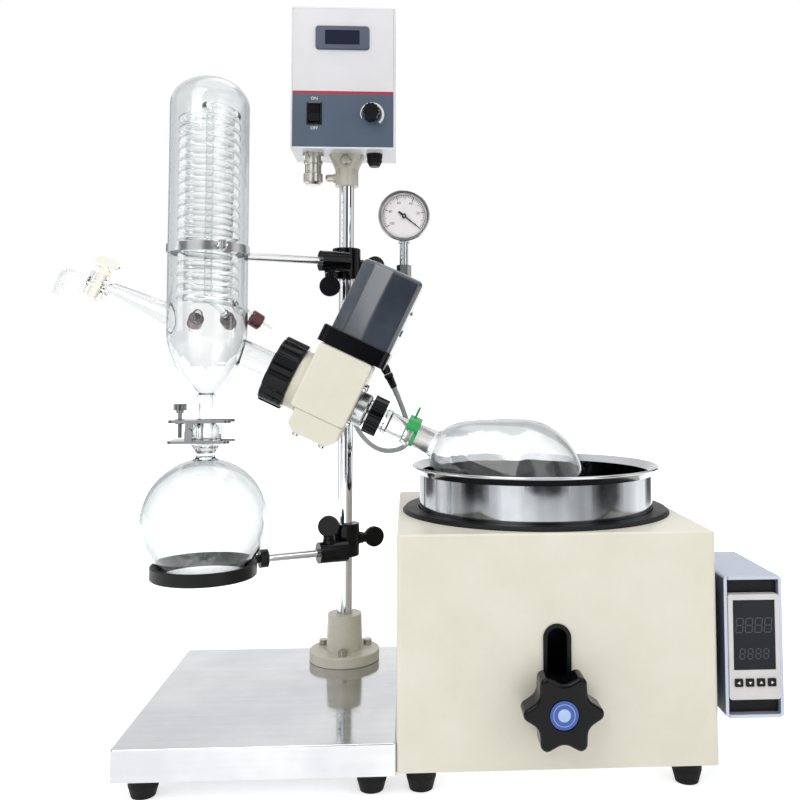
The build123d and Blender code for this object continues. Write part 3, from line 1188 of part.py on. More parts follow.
def boss_head(height, rod_height, screw_side):
    with BuildPart() as head:
        with Locations((column_x, column_y, height)):
            Cylinder(boss_r, boss_height)
            fillet(head.edges().filter_by(GeomType.CIRCLE), 1.5)
        frame = boss_frame(rod_height)
        sleeve_start = frame.from_local_coords((-40, -rod_offset, 0))
        with BuildSketch(Plane(origin=sleeve_start, z_dir=rod_way)):
            Circle(boss_sleeve_r)
        extrude(amount=34)
        pad_start = boss_frame(height).from_local_coords((boss_r - 4, 0, 0))
        with BuildSketch(Plane(origin=pad_start, z_dir=rod_way)):
            Circle(7)
        extrude(amount=8)
        with Locations(frame * Location((-28, -rod_offset, screw_side * (boss_sleeve_r - 1)))):
            Cylinder(6.5, 6)
        with Locations((column_x, column_y, height)):
            Cylinder(column_r + running_gap, 80, mode=Mode.SUBTRACT)
        with BuildSketch(Plane(origin=frame.from_local_coords((-60, -rod_offset, 0)), z_dir=rod_way)):
            Circle(rod_r + running_gap)
        extrude(amount=80, mode=Mode.SUBTRACT)
        with BuildSketch(Plane(origin=boss_frame(height).origin, z_dir=rod_way)):
            Circle(shank_r + running_gap)
        extrude(amount=40, mode=Mode.SUBTRACT)
        rod_tap = frame.from_local_coords((-28, -rod_offset, 0))
        with BuildSketch(Plane(origin=rod_tap, z_dir=(0, 0, screw_side))):
            Circle(shank_r + running_gap)
        extrude(amount=40, mode=Mode.SUBTRACT)
    return head.part


def column_screw(height, eye):
    start = boss_frame(height).from_local_coords((boss_r + 4.5, 0, 0))
    grip_plane = Plane(origin=start, x_dir=(0, 0, 1), z_dir=Vector(0, 0, 1).cross(rod_way))
    return spade_screw(grip_plane, boss_r + 4.5 - column_r - 0.3, eye)


def rod_screw(rod_height, side):
    start = boss_frame(rod_height).from_local_coords((-28, -rod_offset, side * (boss_sleeve_r + 2.5)))
    return spade_screw(plane_along(start, (0, 0, side)), boss_sleeve_r + 2.5 - rod_r - 0.3)


lower_rod_z = 181.0
lower_boss_z = 190.0
boss_parts = {
    "upper_boss_head": boss_head(upper_boss_z, rod_z, -1),
    "upper_column_screw": column_screw(upper_boss_z, True),
    "upper_rod_screw": rod_screw(rod_z, -1),
    "lower_boss_head": boss_head(lower_boss_z, lower_rod_z, 1),
    "lower_column_screw": column_screw(lower_boss_z, False),
    "lower_rod_screw": rod_screw(lower_rod_z, 1),
}
for name, shape in boss_parts.items():
    shape.label = name
    export_step(shape, f"parts/{name}.step")

# Support ring under the receiving flask, its height found from the bowl above its cone
ring_slant = hypot(ring_mouth_r - ring_throat_r, ring_height)
ring_bottom = receiver_z - ((receiver_r + ring_gap) * ring_slant - ring_height * ring_throat_r) / (
    ring_mouth_r - ring_throat_r)
with BuildPart() as support_ring:
    with BuildSketch(upright(condenser_x, glass_y, ring_bottom)):
        with BuildLine():
            Polyline((ring_throat_r, 0), (ring_r - 1, 0), (ring_r, 1), (ring_r, ring_height - 0.8),
                     (ring_r - 0.8, ring_height), (ring_mouth_r, ring_height), close=True)
        make_face()
    revolve(axis=Axis((condenser_x, glass_y, 0), (0, 0, 1)))
    add(rod_between(ring_r - 4, rod_end, lower_rod_z))
    ring_boss = Vector(condenser_x, glass_y, lower_rod_z) + rod_way * (ring_r + 4)
    with BuildSketch(Plane(origin=ring_boss, z_dir=rod_way)):
        Circle(10)
    extrude(amount=9)
    with Locations((condenser_x, glass_y, receiver_z)):
        Sphere(receiver_r + ring_gap, mode=Mode.SUBTRACT)
support_ring.part.label = "support_ring"
export_step(support_ring.part, "parts/support_ring.step")

# Vacuum gauge: port block on the back of the motor, case with its dial, pointer and lens
block_width, block_low, block_top = 20.0, 452.0, 492.0
block_front = glass_y + motor_side
block_back = gauge_y + 9.0
with BuildPart() as gauge_post:
    with BuildSketch(Plane.XY.offset(block_low)) as block_floor:
        with Locations((gauge_x, (block_front + block_back) / 2)):
            Rectangle(block_width, block_back - block_front)
        fillet(block_floor.vertices(), 2)
    extrude(amount=block_top - block_low)
    with BuildSketch(Plane.XY.offset(block_top)):
        with Locations((gauge_x, gauge_y)):
            RegularPolygon(8.6, 6)
    extrude(amount=20)
    case_low = gauge_z - gauge_r
    add(turned(upright(gauge_x, gauge_y), (0, block_top + 20), (5, block_top + 20), (5, case_low - 2),
               (6.5, case_low - 2), (6.5, case_low + 1.2), (0, case_low + 1.2)))
    add(turned(plane_along((gauge_x, block_back, block_low + 18), (0, 1, 0)), (0, -1), (4, -1), (4, 8),
               (5, 10), (4, 13), (5, 15), (3.6, 22), (0, 22)))
    with BuildSketch(upright(gauge_x, gauge_y + gauge_depth / 2 + 1, gauge_z)):
        Circle(gauge_r)
    extrude(amount=gauge_depth + 2, mode=Mode.SUBTRACT)
gauge_post.part.label = "gauge_post"
export_step(gauge_post.part, "parts/gauge_post.step")

gauge_axis_plane = plane_along((gauge_x, gauge_y - gauge_depth / 2, gauge_z), (0, 1, 0))
with BuildPart() as gauge_case:
    add(turned(gauge_axis_plane, (0, 5), (gauge_r - 2.5, 5), (gauge_r - 2.5, 1.2), (gauge_r - 3.6, 1.2),
               (gauge_r - 3.6, 0), (gauge_r - 1, 0), (gauge_r, 1), (gauge_r, 5), (gauge_r - 1.2, 6),
               (gauge_r - 1.2, gauge_depth - 2), (gauge_r - 3, gauge_depth), (0, gauge_depth)))
    add(turned(gauge_axis_plane, (0, 2.0), (0.8, 2.0), (0.8, 6), (0, 6)))
gauge_case.part.label = "gauge_case"
export_step(gauge_case.part, "parts/gauge_case.step")

with BuildPart() as gauge_lens:
    add(turned(gauge_axis_plane, (0, 1.25), (gauge_r - 2.55, 1.25), (gauge_r - 2.55, 1.9), (0, 1.9)))
gauge_lens.part.label = "gauge_lens"
export_step(gauge_lens.part, "parts/gauge_lens.step")

pointer_turn = radians(-38.0)
pointer_plane = Plane(origin=gauge_axis_plane.origin + Vector(0, 3.4, 0),
                      x_dir=(cos(pointer_turn), 0, sin(pointer_turn)), z_dir=(0, -1, 0))
with BuildPart() as gauge_pointer:
    with BuildSketch(pointer_plane):
        Circle(2.8)
        with BuildLine():
            Polyline((-8, -1.2), (21, -0.35), (21, 0.35), (-8, 1.2), close=True)
        make_face()
        Circle(0.8 + running_gap, mode=Mode.SUBTRACT)
    extrude(amount=0.8)
gauge_pointer.part.label = "gauge_pointer"
export_step(gauge_pointer.part, "parts/gauge_pointer.step")

# Motor lead: from the flange's outlet round behind the column and up to the gland under the box
lead_end = Vector(column_x, lead_gland_y, box_bottom - lead_gland_height - 0.4)
lead_points = [
    lead_exit + lead_way * 0.2, Vector(seam_x + 13.6, front_y + 182, 329),
    Vector(seam_x + 10, front_y + 230, 296),
    Vector(seam_x - 30, front_y + 266, 290), Vector(seam_x - 62, front_y + 272, 330),
    Vector(seam_x - 66, front_y + 271, 400), Vector(seam_x - 62, front_y + 270, 470),
    Vector(seam_x - 66, front_y + 271, 540), Vector(seam_x - 63, front_y + 268, 592), lead_end,
]


def corner_radius(before, corner, after):
    one, two = corner - before, after - corner
    return 0.45 * min(one.length, two.length) / tan(radians(one.get_angle(two) / 2))


lead_radii = [corner_radius(*lead_points[k - 1:k + 2]) for k in range(1, len(lead_points) - 1)]
print("lead bend radii", [round(radius, 1) for radius in lead_radii])
with BuildPart() as motor_lead:
    with BuildLine() as lead_run:
        FilletPolyline(*lead_points, radius=lead_radii)
    with BuildSketch(Plane(origin=lead_run.line @ 0, z_dir=lead_run.line % 0)):
        Circle(lead_r)
    sweep(path=lead_run.line)
motor_lead.part.label = "motor_lead"
export_step(motor_lead.part, "parts/motor_lead.step")
print("lead length", round(sum(edge.length for edge in lead_run.line.edges()), 1))
print("ring bottom", round(ring_bottom, 2))
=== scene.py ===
import math
import bpy
import bmesh
from mathutils import Matrix, Vector


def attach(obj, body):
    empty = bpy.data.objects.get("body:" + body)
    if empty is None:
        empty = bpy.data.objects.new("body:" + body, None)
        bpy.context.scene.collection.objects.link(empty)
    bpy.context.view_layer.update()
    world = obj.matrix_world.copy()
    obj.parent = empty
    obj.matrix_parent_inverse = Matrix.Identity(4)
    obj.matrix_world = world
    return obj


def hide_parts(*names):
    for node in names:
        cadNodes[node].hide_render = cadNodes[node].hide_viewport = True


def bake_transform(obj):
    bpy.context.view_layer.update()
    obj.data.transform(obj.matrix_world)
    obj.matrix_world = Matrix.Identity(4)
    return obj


# Rotary evaporator, dressed for the studio. Lengths are in millimetres until a mesh is finished.

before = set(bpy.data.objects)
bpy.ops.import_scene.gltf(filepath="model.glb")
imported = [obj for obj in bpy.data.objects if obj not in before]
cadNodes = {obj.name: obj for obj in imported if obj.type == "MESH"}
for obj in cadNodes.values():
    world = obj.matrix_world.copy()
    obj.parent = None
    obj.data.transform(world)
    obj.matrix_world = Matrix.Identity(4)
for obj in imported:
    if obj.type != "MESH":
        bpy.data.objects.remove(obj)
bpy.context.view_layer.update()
print("frame loaded,", len(cadNodes), "nodes")

ground = {
    "glassY": 23.0,       # glassware and drive head lie in this plane
    "condenserX": -200.56,
    "headX": -116.96,     # the head's own origin, on its axis
    "headZ": 387.0,
    "tilt": 25.5,         # of the head's axis below the level, in degrees
}
toMetres = Matrix.Scale(0.001, 4)


# Camera, lamps, floor and backdrop

photoView = {
    "place": (0.018825, -0.947266, 0.385684),
    "right": (0.9985878, -0.0530855, -0.0020877),
    "up": (-0.0009596, -0.0573139, 0.9983557),
    "lens": 39.417,
    "sensor": 36.0,
    "shift": (-0.06838, -0.09613),
    "clip": (0.05, 60.0),
}


def setCamera():
    data = bpy.data.cameras.new("studioCamera")
    data.lens = photoView["lens"]
    data.sensor_width = photoView["sensor"]
    data.shift_x, data.shift_y = photoView["shift"]
    data.clip_start, data.clip_end = photoView["clip"]
    camera = bpy.data.objects.new("studioCamera", data)
    bpy.context.scene.collection.objects.link(camera)
    right, up = Vector(photoView["right"]), Vector(photoView["up"])
    back = right.cross(up)
    turn = Matrix((right, up, back)).transposed().to_4x4()
    turn.translation = Vector(photoView["place"])
    camera.matrix_world = turn
    bpy.context.scene.camera = camera


lampPlan = {
    "keyLamp": {"place": (-0.9, -1.5, 1.9), "aim": (0.0, 0.0, 0.3), "size": 1.2, "power": 17.0},
    "fillLamp": {"place": (1.5, -1.3, 1.1), "aim": (0.05, 0.0, 0.3), "size": 1.4, "power": 9.0},
    "topLamp": {"place": (0.1, 0.2, 2.2), "aim": (0.0, 0.0, 0.2), "size": 1.6, "power": 13.0},
    "stripLamp": {"place": (-1.7, -0.5, 0.7), "aim": (-0.1, 0.0, 0.4), "size": 0.5, "power": 5.0},
}
lampShape = 1.4          # height of a lamp over its width
roomPlan = {
    "colour": (1.0, 1.0, 1.0, 1.0),
    "soft": 0.52,        # strength for the light that falls on the object
    "plain": 1.0,        # strength where the backdrop itself is seen
}


def aimed(place, aim):
    away = (Vector(place) - Vector(aim)).normalized()
    return Matrix.LocRotScale(Vector(place), away.to_track_quat("Z", "Y"), None)


def setLamps():
    for name, plan in lampPlan.items():
        data = bpy.data.lights.new(name, "AREA")
        data.shape = "RECTANGLE"
        data.size, data.size_y = plan["size"], plan["size"] * lampShape
        data.energy = plan["power"]
        lamp = bpy.data.objects.new(name, data)
        bpy.context.scene.collection.objects.link(lamp)
        lamp.matrix_world = aimed(plan["place"], plan["aim"])


def plainRays(tree):
    # 1 for rays that see the backdrop directly, in metal or through glass
    rays = tree.nodes.new("ShaderNodeLightPath")
    first = tree.nodes.new("ShaderNodeMath")
    first.operation = "MAXIMUM"
    second = tree.nodes.new("ShaderNodeMath")
    second.operation = "MAXIMUM"
    tree.links.new(rays.outputs["Is Camera Ray"], first.inputs[0])
    tree.links.new(rays.outputs["Is Glossy Ray"], first.inputs[1])
    tree.links.new(first.outputs[0], second.inputs[0])
    tree.links.new(rays.outputs["Is Transmission Ray"], second.inputs[1])
    return second.outputs[0]


def setWorld():
    world = bpy.data.worlds.new("paleRoom")
    bpy.context.scene.world = world
    world.use_nodes = True
    tree = world.node_tree
    tree.nodes.clear()
    out = tree.nodes.new("ShaderNodeOutputWorld")
    sky = tree.nodes.new("ShaderNodeBackground")
    level = tree.nodes.new("ShaderNodeMapRange")
    level.inputs["To Min"].default_value = roomPlan["soft"]
    level.inputs["To Max"].default_value = roomPlan["plain"]
    tree.links.new(plainRays(tree), level.inputs["Value"])
    tree.links.new(level.outputs["Result"], sky.inputs["Strength"])
    tree.links.new(sky.outputs[0], out.inputs["Surface"])
    sky.inputs["Color"].default_value = roomPlan["colour"]


floorPlan = {
    "half": 14.0,
    "colour": (0.93, 0.93, 0.925, 1.0),
    "roughness": 0.8,
    "specular": 0.1,
    "fade": (0.45, 1.3),      # metres from the middle
    "lift": (0.5, 1.0),       # white added for plain views, near and far
}


def setFloor():
    bm = bmesh.new()
    bmesh.ops.create_grid(bm, x_segments=2, y_segments=2, size=floorPlan["half"])
    mesh = bpy.data.meshes.new("paleFloor")
    bm.to_mesh(mesh)
    bm.free()
    floor = bpy.data.objects.new("paleFloor", mesh)
    bpy.context.scene.collection.objects.link(floor)
    material = bpy.data.materials.new("paleFloor")
    material.use_nodes = True
    tree = material.node_tree
    shader = tree.nodes["Principled BSDF"]
    shader.inputs["Base Color"].default_value = floorPlan["colour"]
    shader.inputs["Roughness"].default_value = floorPlan["roughness"]
    shader.inputs["Specular IOR Level"].default_value = floorPlan["specular"]
    place = tree.nodes.new("ShaderNodeTexCoord")
    away = tree.nodes.new("ShaderNodeVectorMath")
    away.operation = "LENGTH"
    reach = tree.nodes.new("ShaderNodeMapRange")
    reach.inputs["From Min"].default_value, reach.inputs["From Max"].default_value = floorPlan["fade"]
    reach.inputs["To Min"].default_value, reach.inputs["To Max"].default_value = floorPlan["lift"]
    lift = tree.nodes.new("ShaderNodeMath")
    lift.operation = "MULTIPLY"
    tree.links.new(place.outputs["Object"], away.inputs[0])
    tree.links.new(away.outputs["Value"], reach.inputs["Value"])
    tree.links.new(plainRays(tree), lift.inputs[0])
    tree.links.new(reach.outputs["Result"], lift.inputs[1])
    shader.inputs["Emission Color"].default_value = roomPlan["colour"]
    tree.links.new(lift.outputs[0], shader.inputs["Emission Strength"])
    mesh.materials.append(material)


softCards = {
    "leftCard": {"place": (-1.5, -0.75, 0.5), "aim": (0.0, 0.0, 0.4), "size": (1.0, 1.6), "level": 0.05},
    "rightCard": {"place": (1.6, -0.7, 0.5), "aim": (0.0, 0.0, 0.4), "size": (1.1, 1.6), "level": 0.06},
    "frontCard": {"place": (0.25, -2.0, 0.5), "aim": (0.05, 0.0, 0.4), "size": (1.5, 1.5), "level": 0.10},
    "backLeftCard": {"place": (-1.3, 1.2, 0.5), "aim": (0.0, 0.0, 0.4), "size": (0.8, 1.6), "level": 0.16},
    "backRightCard": {"place": (1.4, 1.2, 0.5), "aim": (0.0, 0.0, 0.4), "size": (0.8, 1.6), "level": 0.16},
}

cardFade = (0.22, 0.5)    # where a card begins to pale and where it is white, from its middle line


def cardMaterial(name, level):
    # dark along the middle, white towards both upright edges
    material = bpy.data.materials.new(name)
    material.use_nodes = True
    tree = material.node_tree
    shader = tree.nodes["Principled BSDF"]
    shader.inputs["Base Color"].default_value = (0.0, 0.0, 0.0, 1.0)
    shader.inputs["Specular IOR Level"].default_value = 0.0
    place = tree.nodes.new("ShaderNodeTexCoord")
    parts = tree.nodes.new("ShaderNodeSeparateXYZ")
    middle = tree.nodes.new("ShaderNodeMath")
    middle.operation = "SUBTRACT"
    middle.inputs[1].default_value = 0.5
    size = tree.nodes.new("ShaderNodeMath")
    size.operation = "ABSOLUTE"
    fade = tree.nodes.new("ShaderNodeMapRange")
    fade.interpolation_type = "SMOOTHSTEP"
    fade.inputs["From Min"].default_value, fade.inputs["From Max"].default_value = cardFade
    fade.inputs["To Min"].default_value, fade.inputs["To Max"].default_value = level, 1.0
    tree.links.new(place.outputs["UV"], parts.inputs[0])
    tree.links.new(parts.outputs["X"], middle.inputs[0])
    tree.links.new(middle.outputs[0], size.inputs[0])
    tree.links.new(size.outputs[0], fade.inputs["Value"])
    shader.inputs["Emission Color"].default_value = roomPlan["colour"]
    tree.links.new(fade.outputs["Result"], shader.inputs["Emission Strength"])
    return material


def setCards():
    # soft cards that only show as streaks in polished metal and gloss
    for name, plan in softCards.items():
        bm = bmesh.new()
        bm.loops.layers.uv.new("cardMap")
        bmesh.ops.create_grid(bm, x_segments=1, y_segments=1, size=0.5, calc_uvs=True)
        bmesh.ops.scale(bm, vec=(*plan["size"], 1.0), verts=bm.verts)
        bmesh.ops.transform(bm, matrix=aimed(plan["place"], plan["aim"]), verts=bm.verts)
        mesh = bpy.data.meshes.new(name)
        bm.to_mesh(mesh)
        bm.free()
        mesh.materials.append(cardMaterial(name, plan["level"]))
        card = bpy.data.objects.new(name, mesh)
        bpy.context.scene.collection.objects.link(card)
        card.visible_camera = False
        card.visible_diffuse = False
        card.visible_transmission = False
        card.visible_shadow = False


setCamera()
setLamps()
setWorld()
setFloor()
setCards()
bpy.context.scene.view_settings.view_transform = "Standard"
print("camera, lamps and floor set")


# Shared shader node groups

def newGroup(name, inputs, outputs):
    group = bpy.data.node_groups.new(name, "ShaderNodeTree")
    for label, kind, value in inputs:
        socket = group.interface.new_socket(label, in_out="INPUT", socket_type=kind)
        socket.default_value = value
    for label in outputs:
        group.interface.new_socket(label, in_out="OUTPUT", socket_type="NodeSocketFloat")
    return group, group.nodes.new("NodeGroupInput"), group.nodes.new("NodeGroupOutput")


def makeGrainField():
    # even speckle of a sprayed or moulded skin, with a slower drift under it; stretched long and strong,
    # the same speckle paints reflection streaks on the pot
    group, given, made = newGroup("grainField", [
        ("Grain Scale", "NodeSocketFloat", 900.0),
        ("Drift Scale", "NodeSocketFloat", 14.0),
        ("Stretch", "NodeSocketVector", (1.0, 1.0, 1.0)),
    ], ["Grain", "Drift"])
    place = group.nodes.new("ShaderNodeTexCoord")
    mapping = group.nodes.new("ShaderNodeMapping")
    grain = group.nodes.new("ShaderNodeTexNoise")
    grain.inputs["Detail"].default_value = 3.0
    drift = group.nodes.new("ShaderNodeTexNoise")
    drift.inputs["Detail"].default_value = 4.0
    drift.inputs["Roughness"].default_value = 0.62
    links = group.links
    links.new(place.outputs["Object"], mapping.inputs["Vector"])
    links.new(given.outputs["Stretch"], mapping.inputs["Scale"])
    links.new(mapping.outputs["Vector"], grain.inputs["Vector"])
    links.new(given.outputs["Grain Scale"], grain.inputs["Scale"])
    links.new(place.outputs["Object"], drift.inputs["Vector"])
    links.new(given.outputs["Drift Scale"], drift.inputs["Scale"])
    links.new(grain.outputs["Fac"], made.inputs["Grain"])
    links.new(drift.outputs["Fac"], made.inputs["Drift"])
    return group


def makePatchField():
    # 1 inside an upright patch of the front plane, given by its middle and half size
    group, given, made = newGroup("patchField", [
        ("Middle", "NodeSocketVector", (0.0, 0.0, 0.0)),
        ("Half", "NodeSocketVector", (0.01, 0.01, 0.01)),
    ], ["Patch"])
    place = group.nodes.new("ShaderNodeTexCoord")
    away = group.nodes.new("ShaderNodeVectorMath")
    away.operation = "SUBTRACT"
    size = group.nodes.new("ShaderNodeVectorMath")
    size.operation = "ABSOLUTE"
    spare = group.nodes.new("ShaderNodeVectorMath")
    spare.operation = "SUBTRACT"
    parts = group.nodes.new("ShaderNodeSeparateXYZ")
    least = group.nodes.new("ShaderNodeMath")
    least.operation = "MINIMUM"
    inside = group.nodes.new("ShaderNodeMath")
    inside.operation = "GREATER_THAN"
    inside.inputs[1].default_value = 0.0
    links = group.links
    links.new(place.outputs["Object"], away.inputs[0])
    links.new(given.outputs["Middle"], away.inputs[1])
    links.new(away.outputs[0], size.inputs[0])
    links.new(given.outputs["Half"], spare.inputs[0])
    links.new(size.outputs[0], spare.inputs[1])
    links.new(spare.outputs[0], parts.inputs[0])
    links.new(parts.outputs["X"], least.inputs[0])
    links.new(parts.outputs["Z"], least.inputs[1])
    links.new(least.outputs[0], inside.inputs[0])
    links.new(inside.outputs[0], made.inputs["Patch"])
    return group


grainField = makeGrainField()
patchField = makePatchField()


# Finishes

skinDepth = 0.0002        # metres of relief in the finest skins
glassDepth = 0.0005


def tone(text):
    # a screen colour, such as e0ddd0, for a linear socket
    parts = [int(text[at:at + 2], 16) / 255 for at in (0, 2, 4)]
    return tuple(p / 12.92 if p <= 0.04045 else ((p + 0.055) / 1.055) ** 2.4 for p in parts) + (1.0,)


def blended(tree, mask, low, high):
    # a colour that goes from low to high with the mask
    mix = tree.nodes.new("ShaderNodeMix")
    mix.data_type = "RGBA"
    tree.links.new(mask, mix.inputs[0])
    for socket, value in ((mix.inputs[6], low), (mix.inputs[7], high)):
        if isinstance(value, tuple):
            socket.default_value = value
        else:
            tree.links.new(value, socket)
    return mix.outputs[2]


def spread(tree, mask, low, high, fromLow=0.35, fromHigh=0.65):
    ranged = tree.nodes.new("ShaderNodeMapRange")
    ranged.inputs["From Min"].default_value = fromLow
    ranged.inputs["From Max"].default_value = fromHigh
    ranged.inputs["To Min"].default_value = low
    ranged.inputs["To Max"].default_value = high
    tree.links.new(mask, ranged.inputs["Value"])
    return ranged.outputs["Result"]


def makeFinish(name, look):
    material = bpy.data.materials.new(name)
    material.use_nodes = True
    tree = material.node_tree
    shader = tree.nodes["Principled BSDF"]
    shader.inputs["Metallic"].default_value = look.get("metallic", 0.0)
    shader.inputs["Coat Weight"].default_value = look.get("coat", 0.0)
    shader.inputs["Coat Roughness"].default_value = look.get("coatRoughness", 0.08)
    shader.inputs["Specular IOR Level"].default_value = look.get("specular", 0.5)
    field = tree.nodes.new("ShaderNodeGroup")
    field.node_tree = grainField
    field.inputs["Grain Scale"].default_value = look.get("grain", 900.0)
    field.inputs["Drift Scale"].default_value = look.get("drift", 14.0)
    field.inputs["Stretch"].default_value = look.get("stretch", (1.0, 1.0, 1.0))
    slow = spread(tree, field.outputs["Drift"], 0.0, 1.0)
    colour = blended(tree, slow, tone(look["shade"]), tone(look["tone"]))
    fine = spread(tree, field.outputs["Grain"], 0.0, 1.0, *look.get("span", (0.35, 0.65)))
    # the speckle darkens the colour at random; on the pot it is stretched and strong, and paints reflection
    # streaks
    speckledAndPaintedStreaks = tree.nodes.new("ShaderNodeMix")
    speckledAndPaintedStreaks.data_type = "RGBA"
    speckledAndPaintedStreaks.blend_type = "MULTIPLY"
    speckledAndPaintedStreaks.inputs[0].default_value = look.get("speckleAndPaintedStreaks", 0.1)
    dark = look.get("dark", 0.82)
    ramp = blended(tree, fine, (dark, dark, dark, 1.0), (1.0, 1.0, 1.0, 1.0))
    tree.links.new(colour, speckledAndPaintedStreaks.inputs[6])
    tree.links.new(ramp, speckledAndPaintedStreaks.inputs[7])
    tree.links.new(speckledAndPaintedStreaks.outputs[2], shader.inputs["Base Color"])
    rough = look["roughness"]
    source = field.outputs["Drift"] if look.get("roughBy", "drift") == "drift" else field.outputs["Grain"]
    tree.links.new(spread(tree, source, rough[0], rough[1]), shader.inputs["Roughness"])
    bump = tree.nodes.new("ShaderNodeBump")
    bump.inputs["Strength"].default_value = look.get("bump", 0.05)
    bump.inputs["Distance"].default_value = skinDepth
    tree.links.new(field.outputs["Grain"], bump.inputs["Height"])
    tree.links.new(bump.outputs["Normal"], shader.inputs["Normal"])
    return material


def makeGlass(name, look):
    # clear where it is faced, greyer where it is seen edge on
    material = bpy.data.materials.new(name)
    material.use_nodes = True
    tree = material.node_tree
    shader = tree.nodes["Principled BSDF"]
    shader.inputs["Transmission Weight"].default_value = 1.0
    shader.inputs["IOR"].default_value = look["ior"]
    shader.inputs["Metallic"].default_value = 0.0
    edge = tree.nodes.new("ShaderNodeLayerWeight")
    edge.inputs["Blend"].default_value = look["edge"]
    colour = blended(tree, edge.outputs["Facing"], tone(look["tone"]), tone(look["shade"]))
    tree.links.new(colour, shader.inputs["Base Color"])
    field = tree.nodes.new("ShaderNodeGroup")
    field.node_tree = grainField
    field.inputs["Grain Scale"].default_value = look["wave"]
    field.inputs["Drift Scale"].default_value = 30.0
    rough = look["roughness"]
    tree.links.new(spread(tree, field.outputs["Drift"], rough[0], rough[1]), shader.inputs["Roughness"])
    bump = tree.nodes.new("ShaderNodeBump")
    bump.inputs["Strength"].default_value = look["bump"]
    bump.inputs["Distance"].default_value = glassDepth
    tree.links.new(field.outputs["Grain"], bump.inputs["Height"])
    tree.links.new(bump.outputs["Normal"], shader.inputs["Normal"])
    return material


